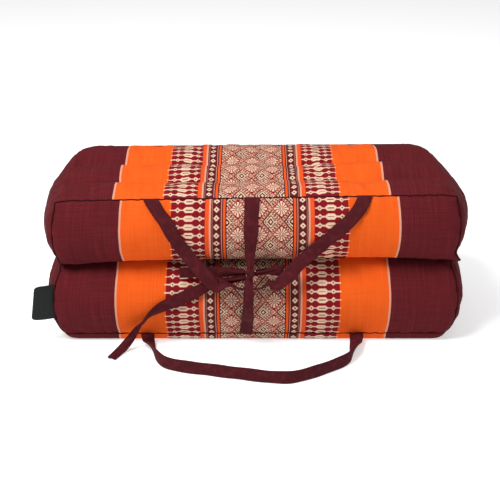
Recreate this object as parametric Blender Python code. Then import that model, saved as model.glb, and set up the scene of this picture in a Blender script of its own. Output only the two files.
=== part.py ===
"""A foldable floor cushion: two channelled box cushions folded one on the other,
held shut by two knotted ribbons, with a carrying strap on each half.

Metres, +Z up. X runs along the channels, the opening edge faces -Y, and the origin
is on the ground under the middle of the cushions.
"""
import math

import bmesh
import bpy
import numpy as np

# Driving sizes of the two cushions
SEAM_HALF_DEPTH = 0.0825
CHANNELS = 3
CORNER_BULGE = 0.006
SIDE_BULGE = 0.0125
BULGE_POWER = 0.75
FRONT_PLAN_RADIUS = 0.008
BACK_PLAN_RADIUS = 0.020
CORNER_POWER = 1.5
GAP = 0.0003

# The crown of a panel that nothing presses on
CHANNEL_CROWNS = (0.0085, 0.0105, 0.0055)
VALLEY_DROP = 0.004
CROWN_END = 0.030
CROWN_END_POWER = 2.6
UNEVENNESS = 0.0009
# Ripples along a channel: radians per metre, share, start and what each next channel adds to it
RIPPLES = (
    (41.0, 1.0, 0.0, 2.1),
    (97.0, 0.6, 0.7, 1.3),
)

# A panel that is pressed flat against the ground or the other cushion
FLAT_EDGE = 0.0075
FLAT_EDGE_POWER = 2.8
FLAT_VALLEY = 0.0045
FLAT_VALLEY_WIDTH = 0.011
FLAT_VALLEY_POWER = 1.5

# Each cushion: the sizes that differ between the two
CUSHIONS = {
    "cushion_lower": {
        "half_width": 0.1850,
        "end_bulge": 0.0165,
        "bottom": 0.0,
        "bottom_seam": 0.0085,
        "top_seam": 0.0735,
        "top": 0.0768,
        "top_is_free": False,
        "top_radius": 0.013,
        "bottom_radius": 0.018,
        "shift": -0.001,
    },
    "cushion_upper": {
        "half_width": 0.1855,
        "end_bulge": 0.0185,
        "bottom": 0.0768 + GAP,
        "bottom_seam": 0.0805,
        "top_seam": 0.146,
        "top": None,
        "top_is_free": True,
        "top_radius": 0.010,
        "bottom_radius": 0.008,
        "shift": 0.0,
    },
}

# Grid of a cushion: cells along X, cells up the border, and where the cells of one channel start
CELLS_ALONG = 22
CELLS_UP = 7
CHANNEL_STATIONS = (0.0, 0.06, 0.18, 0.34, 0.50, 0.66, 0.82, 0.94)

# Straps and ribbons
STRAP_WIDTH = 0.0125
STRAP_THICKNESS = 0.0020
RIBBON_THICKNESS = 0.0016
LIE = 0.0004
STEPS_PER_SPAN = 4

# Where a taut band leaves one cushion and meets the other across the crease
BRIDGE_LOW = 0.060
BRIDGE_HIGH = 0.093
CREASE_HEIGHT = 0.077

# The hinge cloth at the back, the knot and the label
HINGE_HALF_LENGTH = 0.165
HINGE_HEIGHT = 0.016
HINGE_THICKNESS = 0.0016
HINGE_ROUND = 0.0015
HINGE_CELLS = (24, 4)
KNOT_SIZE = (0.0135, 0.0130, 0.0125)
KNOT_CENTRE = (-0.0055, -0.1010, 0.0775)
KNOT_SQUARENESS = 3.0
KNOT_WAIST = 0.10
KNOT_WAIST_WIDTH = 0.35
KNOT_WAIST_SLANT = 0.35
LABEL_WIDTH = 0.019
LABEL_HEIGHT = 0.034
LABEL_THICKNESS = 0.0012
LABEL_RADIUS = 0.0035
LABEL_MIDDLE = 0.0425
LABEL_TURN = math.radians(12)

COLOURS = {
    "cushion": ((0.45, 0.06, 0.05, 1.0), 0.85),
    "strap": ((0.12, 0.02, 0.03, 1.0), 0.8),
    "label": ((0.02, 0.02, 0.022, 1.0), 0.7),
}


def clear_scene():
    """Remove the objects that the file opened with."""
    for item in list(bpy.data.objects):
        bpy.data.objects.remove(item, do_unlink=True)


def material(name, kind):
    """A Principled material in the colour of one kind of cloth."""
    colour, roughness = COLOURS[kind]
    made = bpy.data.materials.new(name)
    made.use_nodes = True
    shader = made.node_tree.nodes["Principled BSDF"]
    shader.inputs["Base Color"].default_value = colour
    shader.inputs["Roughness"].default_value = roughness
    shader.inputs["Metallic"].default_value = 0.0
    return made


def add_object(name, kind, points, faces):
    """A smooth shaded object from points and faces, its faces turned outwards."""
    mesh = bpy.data.meshes.new(name)
    shape = bmesh.new()
    corners = [shape.verts.new(point) for point in points]
    for face in faces:
        shape.faces.new([corners[index] for index in face])
    bmesh.ops.recalc_face_normals(shape, faces=shape.faces)
    shape.to_mesh(mesh)
    shape.free()
    mesh.shade_smooth()
    mesh.set_sharp_from_angle(angle=math.radians(50))
    made = bpy.data.objects.new(name, mesh)
    made.data.materials.append(material(name, kind))
    bpy.context.scene.collection.objects.link(made)
    return made


def ramp(distance, reach, power):
    """0 at an edge, rounding up to exactly 1 at the reach."""
    t = min(max(distance / reach, 0.0), 1.0)
    return 1.0 - (1.0 - t) ** power


def border_bulge(w):
    """How full the border strip is between its seams, 0 at each seam and 1 at mid height."""
    return max(math.cos(math.pi * w / 2.0), 0.0) ** BULGE_POWER


def side_bulge(u):
    """The border's greatest bulge along the front and back, less at the corners."""
    return CORNER_BULGE + (SIDE_BULGE - CORNER_BULGE) * (1.0 - abs(u) ** 6)


def end_bulge(size, v):
    """The border's greatest bulge along an end, less at the corners."""
    return CORNER_BULGE + (size["end_bulge"] - CORNER_BULGE) * (1.0 - v * v)


def channel_place(v):
    """The channel a depth falls in, and how far across that channel it is."""
    across = (v + 1.0) / 2.0 * CHANNELS
    channel = min(int(across + 1e-9), CHANNELS - 1)
    return channel, across - channel


def free_crown(size, u, v):
    """Height over the seam of a panel with sewn channels: an arch in each, deep valleys between."""
    channel, s = channel_place(v)
    arch = 4.0 * s * (1.0 - s)
    rise = CHANNEL_CROWNS[channel]
    near = 1.0 if channel > 0 else s
    far = 1.0 if channel < CHANNELS - 1 else 1.0 - s
    drop = VALLEY_DROP * min(near, far)
    x = u * size["half_width"]
    ripple = sum(share * math.sin(waves * x + start + step * channel)
                 for waves, share, start, step in RIPPLES)
    height = arch * (rise + UNEVENNESS * ripple) - drop
    return height * ramp((1.0 - abs(u)) * size["half_width"], CROWN_END, CROWN_END_POWER)


def flat_crown(size, u, v, depth):
    """Distance from the seam of a pressed panel: flat at its depth, the sewn valleys lifted off."""
    channel, s = channel_place(v)
    pitch = 2.0 * SEAM_HALF_DEPTH / CHANNELS
    to_low = s * pitch if channel > 0 else pitch
    to_high = (1.0 - s) * pitch if channel < CHANNELS - 1 else pitch
    valley = max(1.0 - min(to_low, to_high) / FLAT_VALLEY_WIDTH, 0.0) ** FLAT_VALLEY_POWER
    edge = ramp((1.0 - abs(u)) * size["half_width"], FLAT_EDGE, FLAT_EDGE_POWER)
    edge *= ramp((1.0 - abs(v)) * SEAM_HALF_DEPTH, FLAT_EDGE, FLAT_EDGE_POWER)
    return edge * (depth - FLAT_VALLEY * valley)


def rounded_pair(a, half_a, b, half_b, radius):
    """Two coordinates of a box, their shared corner turned into an arc of the radius."""
    ea = max((abs(a) - (half_a - radius)) / radius, 0.0)
    eb = max((abs(b) - (half_b - radius)) / radius, 0.0)
    if ea == 0.0 or eb == 0.0:
        return a, b
    qa = ea * math.sqrt(1.0 - eb * eb / 2.0)
    qb = eb * math.sqrt(1.0 - ea * ea / 2.0)
    return math.copysign(half_a - radius + radius * qa, a), math.copysign(half_b - radius + radius * qb, b)


def cushion_point(size, u, v, w):
    """A cushion's surface, from a box whose coordinates u, v and w run from -1 to 1."""
    half_width = size["half_width"]
    half_height = (size["top_seam"] - size["bottom_seam"]) / 2.0
    middle = (size["top_seam"] + size["bottom_seam"]) / 2.0
    x = u * half_width
    y = v * SEAM_HALF_DEPTH
    z = w * half_height
    plan_radius = BACK_PLAN_RADIUS if v > 0.0 else FRONT_PLAN_RADIUS
    x, y = rounded_pair(x, half_width, y, SEAM_HALF_DEPTH, plan_radius)
    radius = size["top_radius"] if w > 0.0 else size["bottom_radius"]
    turned_x, turned_z = rounded_pair(x, half_width, z, half_height, radius)
    near_face = ramp(abs(v) * SEAM_HALF_DEPTH - (SEAM_HALF_DEPTH - radius), radius, CORNER_POWER)
    x += (turned_x - x) * near_face
    z += (turned_z - z) * near_face
    full = border_bulge(w)
    x += u * end_bulge(size, v) * full
    y += v * side_bulge(u) * full
    if w == 1.0:
        if size["top_is_free"]:
            z += free_crown(size, u, v)
        else:
            z += flat_crown(size, u, v, size["top"] - size["top_seam"])
    if w == -1.0:
        z -= flat_crown(size, u, v, size["bottom_seam"] - size["bottom"])
    return x + size["shift"], y, z + middle


def lattice_surface(stations):
    """The outside of a box lattice: its places as (i, j, k) and its four-sided faces."""
    counts = [len(row) - 1 for row in stations]
    places = {}
    faces = []

    def place(index):
        return places.setdefault(index, len(places))

    for axis in range(3):
        first, second = [other for other in range(3) if other != axis]
        for end in (0, counts[axis]):
            for a in range(counts[first]):
                for b in range(counts[second]):
                    face = []
                    for step_a, step_b in ((0, 0), (1, 0), (1, 1), (0, 1)):
                        index = [0, 0, 0]
                        index[axis] = end
                        index[first] = a + step_a
                        index[second] = b + step_b
                        face.append(place(tuple(index)))
                    faces.append(face)
    return list(places), faces


def make_cushion(name):
    """One filled cushion, a closed surface with its seams on the lattice's edges."""
    size = CUSHIONS[name]
    along = [-math.cos(math.pi * i / CELLS_ALONG) for i in range(CELLS_ALONG + 1)]
    depth = [(channel + s) / CHANNELS * 2.0 - 1.0 for channel in range(CHANNELS) for s in CHANNEL_STATIONS]
    depth.append(1.0)
    up = [-math.cos(math.pi * k / CELLS_UP) for k in range(CELLS_UP + 1)]
    for row in (along, up):
        row[0] = -1.0
        row[-1] = 1.0
    places, faces = lattice_surface((along, depth, up))
    points = [cushion_point(size, along[i], depth[j], up[k]) for i, j, k in places]
    return add_object(name, "cushion", points, faces)


def face_at(x, z):
    """How far the front or back border stands out from the middle of the cushions."""
    size = CUSHIONS["cushion_lower" if z < CREASE_HEIGHT else "cushion_upper"]
    half_height = (size["top_seam"] - size["bottom_seam"]) / 2.0
    w = (z - (size["top_seam"] + size["bottom_seam"]) / 2.0) / half_height
    u = min(max(x / size["half_width"], -1.0), 1.0)
    return SEAM_HALF_DEPTH + side_bulge(u) * border_bulge(min(max(w, -1.0), 1.0))


def face_distance(x, z):
    """The border's distance from the middle, with a taut band's straight line across the crease."""
    if BRIDGE_LOW < z < BRIDGE_HIGH:
        t = (z - BRIDGE_LOW) / (BRIDGE_HIGH - BRIDGE_LOW)
        return face_at(x, BRIDGE_LOW) * (1.0 - t) + face_at(x, BRIDGE_HIGH) * t
    return face_at(x, z)


def on_face(x, z, lift, roll, width, thickness):
    """A route row whose band lies on the front border, or is lifted off it by a distance."""
    step = 0.0004
    slope = (face_distance(x, z + step) - face_distance(x, z - step)) / (2.0 * step)
    normal = np.array([0.0, -1.0, -slope])
    normal /= np.linalg.norm(normal)
    centre = np.array([x, -face_distance(x, z), z]) + normal * (lift + LIE + thickness / 2.0)
    return np.concatenate([centre, normal, [roll, width]])


def in_space(x, y, z, roll, width, lean=90.0):
    """A route row given by its place. Lean turns the reference from -Y (0) up to +Z (90)."""
    turned = math.radians(lean)
    return np.array([x, y, z, 0.0, -math.cos(turned), math.sin(turned), roll, width])


def smooth_rows(rows, steps):
    """Catmull-Rom curve through all columns of a route's rows."""
    rows = np.array(rows)
    padded = np.vstack([2 * rows[0] - rows[1], rows, 2 * rows[-1] - rows[-2]])
    made = []
    for i in range(len(rows) - 1):
        a, b, c, d = padded[i:i + 4]
        for step in range(steps):
            t = step / steps
            point = 2 * b + (c - a) * t + (2 * a - 5 * b + 4 * c - d) * t ** 2
            point += (3 * b - a - 3 * c + d) * t ** 3
            made.append(point / 2)
    made.append(rows[-1])
    return np.array(made)


def make_band(name, rows, thickness, steps=STEPS_PER_SPAN):
    """A flat band carried along a route. Roll 0 lays its width across the reference direction."""
    route = smooth_rows(rows, steps)
    centre = route[:, 0:3]
    tangent = np.gradient(centre, axis=0)
    tangent /= np.linalg.norm(tangent, axis=1)[:, None]
    normal = route[:, 3:6]
    across = np.cross(tangent, normal)
    across /= np.linalg.norm(across, axis=1)[:, None]
    normal = np.cross(across, tangent)
    roll = np.radians(route[:, 6])[:, None]
    width_way = np.cos(roll) * across + np.sin(roll) * normal
    face_way = np.cross(width_way, tangent)
    half_width = route[:, 7][:, None] / 2.0
    half = thickness / 2.0
    corners = []
    for side_w, side_t in ((-1, -1), (1, -1), (1, 1), (-1, 1)):
        corners.append(centre + side_w * half_width * width_way + side_t * half * face_way)
    points = np.stack(corners, axis=1).reshape(-1, 3)
    faces = []
    for i in range(len(centre) - 1):
        for j in range(4):
            faces.append((4 * i + j, 4 * i + (j + 1) % 4, 4 * i + 4 + (j + 1) % 4, 4 * i + 4 + j))
    faces.append((0, 1, 2, 3))
    last = 4 * (len(centre) - 1)
    faces.append((last + 3, last + 2, last + 1, last))
    return add_object(name, "strap", points.tolist(), faces)


def make_handle_upper():
    """The strap sewn into the top front seam, hanging over the front of the fold."""
    # columns: x, height, lift off the face, roll in degrees
    table = (
        (-0.0945, 0.1459, 0.0000, 0),
        (-0.0930, 0.1445, 0.0001, 0),
        (-0.0900, 0.1400, 0.0003, 0),
        (-0.0865, 0.1340, 0.0004, 2),
        (-0.0818, 0.1250, 0.0006, 5),
        (-0.0752, 0.1130, 0.0012, 10),
        (-0.0660, 0.0995, 0.0022, 16),
        (-0.0560, 0.0870, 0.0072, 20),
        (-0.0458, 0.0763, 0.0116, 28),
        (-0.0365, 0.0672, 0.0132, 42),
        (-0.0265, 0.0605, 0.0118, 64),
        (-0.0150, 0.0578, 0.0090, 84),
        (-0.0055, 0.0574, 0.0082, 90),
        (0.0040, 0.0580, 0.0084, 86),
        (0.0120, 0.0612, 0.0098, 68),
        (0.0200, 0.0680, 0.0116, 46),
        (0.0293, 0.0763, 0.0100, 32),
        (0.0430, 0.0895, 0.0052, 22),
        (0.0572, 0.1025, 0.0020, 14),
        (0.0706, 0.1143, 0.0010, 8),
        (0.0844, 0.1260, 0.0006, 4),
        (0.0925, 0.1350, 0.0004, 0),
        (0.0965, 0.1410, 0.0003, 0),
        (0.0983, 0.1448, 0.0001, 0),
        (0.0990, 0.1459, 0.0000, 0),
    )
    rows = [on_face(x, z, lift, roll, STRAP_WIDTH, STRAP_THICKNESS) for x, z, lift, roll in table]
    return make_band("handle_upper", rows, STRAP_THICKNESS, 3)


def make_handle_lower():
    """The strap sewn into the bottom front seam, lying in a bow on the ground on its edge."""
    stand = STRAP_WIDTH / 2.0 + GAP
    # columns: x, y, height of the middle, roll in degrees
    table = (
        (-0.1025, -0.0835, 0.0074, 0),
        (-0.1018, -0.0885, 0.0060, 6),
        (-0.1003, -0.0955, 0.0050, 20),
        (-0.0980, -0.1045, 0.0058, 48),
        (-0.0950, -0.1135, stand, 76),
        (-0.0905, -0.1265, stand, 90),
        (-0.0833, -0.1380, stand, 90),
        (-0.0721, -0.1450, stand, 90),
        (-0.0580, -0.1495, stand, 90),
        (-0.0439, -0.1530, stand, 90),
        (-0.0290, -0.1571, stand, 90),
        (-0.0142, -0.1609, stand, 90),
        (0.0000, -0.1646, stand, 90),
        (0.0150, -0.1678, stand, 90),
        (0.0292, -0.1684, stand, 90),
        (0.0410, -0.1643, stand, 90),
        (0.0517, -0.1580, stand, 90),
        (0.0620, -0.1508, stand, 90),
        (0.0713, -0.1438, stand, 90),
        (0.0800, -0.1360, stand, 90),
        (0.0862, -0.1275, stand, 88),
        (0.0895, -0.1180, stand, 72),
        (0.0918, -0.1075, 0.0058, 46),
        (0.0935, -0.0978, 0.0050, 20),
        (0.0946, -0.0894, 0.0060, 6),
        (0.0950, -0.0835, 0.0074, 0),
    )
    rows = [in_space(x, y, z, roll, STRAP_WIDTH) for x, y, z, roll in table]
    return make_band("handle_lower", rows, STRAP_THICKNESS, 3)


def ribbon_on_face(name, table, steps=STEPS_PER_SPAN):
    """A ribbon along the front border, from rows of x, height, lift, roll and width."""
    rows = [on_face(x, z, lift, roll, width, RIBBON_THICKNESS) for x, z, lift, roll, width in table]
    return make_band(name, rows, RIBBON_THICKNESS, steps)


def make_tie_upper():
    """The ribbon from the top front seam down to the knot."""
    # columns: x, height, lift off the face, roll in degrees, width
    table = (
        (-0.0036, 0.1459, 0.0000, 0, 0.0138),
        (-0.0036, 0.1440, 0.0001, 0, 0.0138),
        (-0.0038, 0.1380, 0.0002, 0, 0.0136),
        (-0.0041, 0.1300, 0.0002, 0, 0.0134),
        (-0.0045, 0.1200, 0.0002, 0, 0.0130),
        (-0.0048, 0.1090, 0.0004, 0, 0.0122),
        (-0.0052, 0.0990, 0.0014, 0, 0.0108),
        (-0.0055, 0.0910, 0.0042, 0, 0.0090),
        (-0.0055, 0.0841, 0.0080, 0, 0.0078),
    )
    return ribbon_on_face("tie_upper", table, 3)


def make_tie_lower():
    """The ribbon from the bottom front seam up to the knot, over the upper half's strap."""
    # columns: x, height, lift off the face, roll in degrees, width
    table = (
        (-0.0095, 0.0087, 0.0000, 0, 0.0122),
        (-0.0093, 0.0105, 0.0001, 0, 0.0122),
        (-0.0088, 0.0165, 0.0002, 0, 0.0120),
        (-0.0082, 0.0260, 0.0008, 0, 0.0116),
        (-0.0078, 0.0350, 0.0046, 0, 0.0110),
        (-0.0073, 0.0450, 0.0112, 0, 0.0100),
        (-0.0067, 0.0545, 0.0166, 0, 0.0088),
        (-0.0062, 0.0625, 0.0164, 0, 0.0078),
        (-0.0058, 0.0708, 0.0118, 0, 0.0072),
    )
    return ribbon_on_face("tie_lower", table, 3)


def make_tie_end_short():
    """The free end that lies level in the crease, cut off square."""
    # columns: x, height, lift off the face, roll in degrees, width
    table = (
        (-0.0119, 0.0775, 0.0046, 0, 0.0078),
        (-0.0190, 0.0770, 0.0026, 0, 0.0090),
        (-0.0300, 0.0762, 0.0008, 0, 0.0098),
        (-0.0430, 0.0752, 0.0002, 0, 0.0100),
        (-0.0570, 0.0746, 0.0001, 0, 0.0098),
        (-0.0709, 0.0740, 0.0004, 0, 0.0094),
    )
    return ribbon_on_face("tie_end_short", table)


def make_tie_end_long():
    """The free end that runs down across the lower half and lies on the ground."""
    wide = 0.0118
    # columns: x, height, lift off the face, roll in degrees, width
    table = (
        (-0.0116, 0.0727, 0.0078, 6, 0.0070),
        (-0.0200, 0.0702, 0.0066, 6, 0.0094),
        (-0.0285, 0.0672, 0.0048, 4, 0.0104),
        (-0.0396, 0.0625, 0.0022, 2, 0.0110),
        (-0.0536, 0.0562, 0.0008, 0, wide),
        (-0.0703, 0.0493, 0.0004, 0, wide),
        (-0.0867, 0.0424, 0.0010, 8, 0.0108),
        (-0.0975, 0.0362, 0.0028, 34, 0.0092),
        (-0.1045, 0.0290, 0.0044, 56, 0.0078),
    )
    rows = [on_face(x, z, lift, roll, width, RIBBON_THICKNESS) for x, z, lift, roll, width in table]
    # columns: x, y, height of the middle, roll in degrees, width, lean of the reference in degrees
    falling = (
        (-0.1110, -0.0990, 0.0205, 62, 0.0088, 30),
        (-0.1172, -0.1010, 0.0115, 44, 0.0102, 50),
        (-0.1232, -0.1045, 0.0048, 20, 0.0112, 72),
        (-0.1283, -0.1112, 0.0016, 2, wide, 90),
        (-0.1325, -0.1222, 0.0011, 0, wide, 90),
    )
    rows += [in_space(*row) for row in falling]
    return make_band("tie_end_long", rows, RIBBON_THICKNESS)


def make_tie_loop():
    """The small flattened bow loop that is tucked into the crease at the right of the knot."""
    # columns: x, height, lift off the face, width
    table = (
        (0.0014, 0.0784, 0.0066, 0.0080),
        (0.0080, 0.0790, 0.0056, 0.0098),
        (0.0160, 0.0786, 0.0050, 0.0108),
        (0.0215, 0.0780, 0.0046, 0.0110),
        (0.0243, 0.0777, 0.0026, 0.0110),
        (0.0215, 0.0774, 0.0006, 0.0110),
        (0.0150, 0.0772, 0.0004, 0.0108),
        (0.0080, 0.0770, 0.0008, 0.0098),
        (0.0014, 0.0768, 0.0022, 0.0080),
    )
    rows = [on_face(x, z, lift, 90, width, RIBBON_THICKNESS) for x, z, lift, width in table]
    for row in rows:
        out_y, out_z = row[4:6]
        row[3:6] = (0.0, out_z, -out_y)
    return make_band("tie_loop", rows, RIBBON_THICKNESS)


def make_knot():
    """The knot: a ball pressed to a rounded block with a hollow round its middle."""
    shape = bmesh.new()
    bmesh.ops.create_uvsphere(shape, u_segments=20, v_segments=12, radius=1.0)
    places = []
    for corner in shape.verts:
        x, y, z = corner.co
        powers = sum(abs(c) ** KNOT_SQUARENESS for c in (x, y, z))
        swell = powers ** (-1.0 / KNOT_SQUARENESS)
        waist = 1.0 - KNOT_WAIST * math.exp(-((x + KNOT_WAIST_SLANT * z) / KNOT_WAIST_WIDTH) ** 2)
        places.append([c * swell * waist for c in (x, y, z)])
    for corner, place in zip(shape.verts, places):
        corner.co = [c + p * s / 2.0 for c, p, s in zip(KNOT_CENTRE, place, KNOT_SIZE)]
    mesh = bpy.data.meshes.new("tie_knot")
    shape.to_mesh(mesh)
    shape.free()
    mesh.shade_smooth()
    made = bpy.data.objects.new("tie_knot", mesh)
    made.data.materials.append(material("tie_knot", "strap"))
    bpy.context.scene.collection.objects.link(made)
    return made


def make_hinge():
    """The cloth that joins the two halves along the back, in the groove of the fold."""
    along, across = HINGE_CELLS
    half = HINGE_HEIGHT / 2.0
    points = []
    for layer in (0, 1):
        for i in range(along + 1):
            x = (2.0 * i / along - 1.0) * HINGE_HALF_LENGTH
            lower = face_at(x, CREASE_HEIGHT - half)
            upper = face_at(x, CREASE_HEIGHT + half)
            for j in range(across + 1):
                t = j / across
                y = lower * (1.0 - t) + upper * t + LIE + HINGE_ROUND * 4.0 * t * (1.0 - t)
                points.append((x, y + layer * HINGE_THICKNESS, CREASE_HEIGHT - half + t * HINGE_HEIGHT))
    row = across + 1
    layer_size = row * (along + 1)
    faces = []
    for i in range(along):
        for j in range(across):
            a = i * row + j
            face = (a, a + 1, a + row + 1, a + row)
            faces.append(face)
            faces.append(tuple(index + layer_size for index in reversed(face)))
    rim = [(i * row, (i + 1) * row) for i in range(along)]
    rim += [((i + 1) * row + across, i * row + across) for i in range(along)]
    rim += [(j + 1, j) for j in range(across)]
    rim += [(along * row + j, along * row + j + 1) for j in range(across)]
    faces += [(a, b, b + layer_size, a + layer_size) for a, b in rim]
    return add_object("hinge_cloth", "strap", points, faces)


def corner_seam(size, z):
    """The front left corner seam of a cushion at a height, as x and y."""
    half_height = (size["top_seam"] - size["bottom_seam"]) / 2.0
    w = (z - (size["top_seam"] + size["bottom_seam"]) / 2.0) / half_height
    x, y, _ = cushion_point(size, -1.0, -1.0, w)
    return x, y


def make_label():
    """A bare woven label. Its inner edge follows the front left seam of the lower half."""
    outline = []
    for middle_z, start in ((LABEL_HEIGHT - LABEL_RADIUS, 90), (LABEL_RADIUS, 0)):
        for step in range(5):
            angle = math.radians(start - 90 * step / 4)
            out = LABEL_WIDTH - LABEL_RADIUS + LABEL_RADIUS * math.cos(angle)
            outline.append((out, middle_z + LABEL_RADIUS * math.sin(angle)))
    outline += [(0.0, LABEL_HEIGHT * step / 4) for step in range(5)]
    size = CUSHIONS["cushion_lower"]
    middle_x, middle_y = corner_seam(size, LABEL_MIDDLE)
    half = LABEL_THICKNESS / 2.0
    count = len(outline)
    points = []
    for face in (-half, half):
        for out, up in outline:
            z = LABEL_MIDDLE - LABEL_HEIGHT / 2.0 + up
            seam_x, seam_y = corner_seam(size, z)
            near = 1.0 - out / LABEL_WIDTH
            x = middle_x + (seam_x - middle_x) * near - LIE - out * math.cos(LABEL_TURN)
            y = middle_y + (seam_y - middle_y) * near - half - out * math.sin(LABEL_TURN)
            points.append((x - face * math.sin(LABEL_TURN), y + face * math.cos(LABEL_TURN), z))
    faces = [tuple(range(count)), tuple(range(2 * count - 1, count - 1, -1))]
    faces += [(i, (i + 1) % count, (i + 1) % count + count, i + count) for i in range(count)]
    return add_object("label", "label", points, faces)


def main():
    """Build every piece."""
    clear_scene()
    for name in CUSHIONS:
        make_cushion(name)
    make_hinge()
    make_handle_upper()
    make_handle_lower()
    make_tie_upper()
    make_tie_lower()
    make_tie_end_short()
    make_tie_end_long()
    make_tie_loop()
    make_knot()
    make_label()


main()
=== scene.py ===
# %% [markdown]
# A foldable floor cushion. The real one is two box cushions of woven cotton, stuffed hard,
# sewn into three channels, folded one on the other and tied shut with ribbons. This lesson
# dresses the plain solids: it models every soft piece again as a fine surface, lets a cloth
# solver swell the cushions, and weaves the pattern with shader nodes.
#
# The solids come in as a fixed frame in metres. Nothing here moves them. Each new piece
# stands for the solid of the same name and rides on its body.

# %% Load the frame
import math

import bpy
import numpy as np
from mathutils import Matrix, Vector


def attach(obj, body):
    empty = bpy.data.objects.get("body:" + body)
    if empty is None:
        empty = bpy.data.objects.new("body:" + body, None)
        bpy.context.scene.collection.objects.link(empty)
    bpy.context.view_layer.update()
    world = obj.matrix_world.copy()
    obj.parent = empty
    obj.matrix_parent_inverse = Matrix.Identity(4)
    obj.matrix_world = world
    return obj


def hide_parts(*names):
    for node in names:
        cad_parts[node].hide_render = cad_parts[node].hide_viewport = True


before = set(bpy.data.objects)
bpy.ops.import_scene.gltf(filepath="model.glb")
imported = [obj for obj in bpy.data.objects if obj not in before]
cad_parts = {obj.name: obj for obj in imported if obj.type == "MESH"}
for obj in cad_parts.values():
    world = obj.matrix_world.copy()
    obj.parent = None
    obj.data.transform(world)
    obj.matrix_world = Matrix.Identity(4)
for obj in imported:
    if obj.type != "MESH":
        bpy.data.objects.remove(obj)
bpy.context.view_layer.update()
print("solids:", ", ".join(sorted(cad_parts)))

# %% [markdown]
# Colours are noted as they look on a screen, from 0 to 255, and turned into the linear
# values that the renderer adds up. A table of named colours keeps every finish in one place.

# %% Colours
CLOTH_SHADE = 0.80
WHITE = (1.0, 1.0, 1.0, 1.0)
FLOOR_COLOUR = (0.72, 0.72, 0.72, 1.0)


def screen(red, green, blue):
    """A screen colour as linear red, green, blue and 1, by the standard curve, less the shade."""
    values = []
    for part in (red, green, blue):
        part = part / 255.0
        linear = part / 12.92 if part <= 0.04045 else ((part + 0.055) / 1.055) ** 2.4
        values.append(linear * CLOTH_SHADE)
    return (*values, 1.0)


COLOURS = {
    "orange": screen(240, 84, 16),
    "orange_light": screen(252, 110, 36),
    "orange_stripe": screen(240, 88, 36),
    "maroon": screen(106, 30, 36),
    "maroon_dark": screen(74, 16, 24),
    "maroon_light": screen(134, 46, 52),
    "crimson": screen(150, 22, 34),
    "crimson_dark": screen(104, 14, 26),
    "cream": screen(248, 220, 190),
    "cream_pink": screen(228, 160, 134),
    "mauve": screen(190, 130, 112),
    "pink": screen(226, 138, 120),
    "umber": screen(92, 36, 28),
    "olive": screen(90, 66, 34),
    "plum": screen(88, 27, 33),
    "plum_dark": screen(62, 17, 23),
    "plum_light": screen(112, 40, 48),
    "label": screen(30, 32, 33),
    "label_light": screen(58, 60, 60),
    # Seam cord colour: partly the turned cloth's darker tone, partly painted shade of the fold along each
    # seam
    "seam_cloth_and_fold_shade": screen(38, 9, 13),
}

# %% [markdown]
# The camera comes before the pieces, because the picture decides how fine they must be. A
# long lens from a little over a metre, looking down by 22 degrees, gives the near parallel
# lines of a catalogue picture. The small sideways shift centres the frame as in the photo.

# %% Camera
CAMERA_TILT = math.radians(22.0)
CAMERA_DISTANCE = 1.24
CAMERA_TARGET = Vector((0.0, 0.0, 0.060))
IMAGE_SIZE = 500
FOCAL_PIXELS = 1248.0
SENSOR = 36.0
CENTRE_COLUMN = 256.0

camera_data = bpy.data.cameras.new("camera")
camera_data.sensor_width = SENSOR
camera_data.lens = FOCAL_PIXELS / IMAGE_SIZE * SENSOR
camera_data.shift_x = (IMAGE_SIZE / 2 - CENTRE_COLUMN) / IMAGE_SIZE
camera_data.clip_start = 0.05
camera = bpy.data.objects.new("camera", camera_data)
towards = Vector((0.0, -math.cos(CAMERA_TILT), math.sin(CAMERA_TILT)))
camera.location = CAMERA_TARGET + towards * CAMERA_DISTANCE
camera.rotation_euler = (math.pi / 2 - CAMERA_TILT, 0.0, 0.0)
bpy.context.scene.collection.objects.link(camera)
bpy.context.scene.camera = camera
print("lens", round(camera_data.lens, 1), "mm")

# %% [markdown]
# A mesh is made in one call from whole arrays. The points are a table of x, y and z, and the
# faces are rows of four point numbers. Where a pattern has to follow the cloth, each corner
# of each face also gets a place on the flat cloth, in metres, as its UV. Every piece of
# cloth is closed, so the sign of its volume tells whether its quads look inwards.

# %% Meshes from arrays


def add_piece(name, points, faces, uv=None):
    """An object at the origin from points, quads and one UV pair for each face corner."""
    if uv is not None:
        faces, uv = turned_out(points, faces, uv)
    mesh = bpy.data.meshes.new(name)
    points = np.ascontiguousarray(points, dtype=np.float32)
    faces = np.ascontiguousarray(faces, dtype=np.int32)
    mesh.vertices.add(len(points))
    mesh.vertices.foreach_set("co", points.ravel())
    mesh.loops.add(faces.size)
    mesh.loops.foreach_set("vertex_index", faces.ravel())
    mesh.polygons.add(len(faces))
    mesh.polygons.foreach_set("loop_start", np.arange(len(faces), dtype=np.int32) * faces.shape[1])
    mesh.update(calc_edges=True)
    if uv is not None:
        layer = mesh.uv_layers.new(name="cloth")
        layer.data.foreach_set("uv", np.ascontiguousarray(uv, dtype=np.float32).ravel())
    mesh.validate()
    mesh.shade_smooth()
    made = bpy.data.objects.new(name, mesh)
    bpy.context.scene.collection.objects.link(made)
    return made


def grid_quads(rows, columns):
    """Point numbers of the quads of a grid whose points are stored row by row."""
    first = np.arange(rows - 1)[:, None] * columns + np.arange(columns - 1)[None, :]
    return np.stack([first, first + 1, first + columns + 1, first + columns], axis=-1).reshape(-1, 4)


def unit(vectors):
    """The same directions with length 1: each vector over its own length."""
    return vectors / np.maximum(np.linalg.norm(vectors, axis=-1), 1e-12)[..., None]


def quad_facing(points, faces):
    """Which way each quad looks: the cross product of its diagonals."""
    corner = points[faces]
    return np.cross(corner[:, 2] - corner[:, 0], corner[:, 3] - corner[:, 1])


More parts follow.
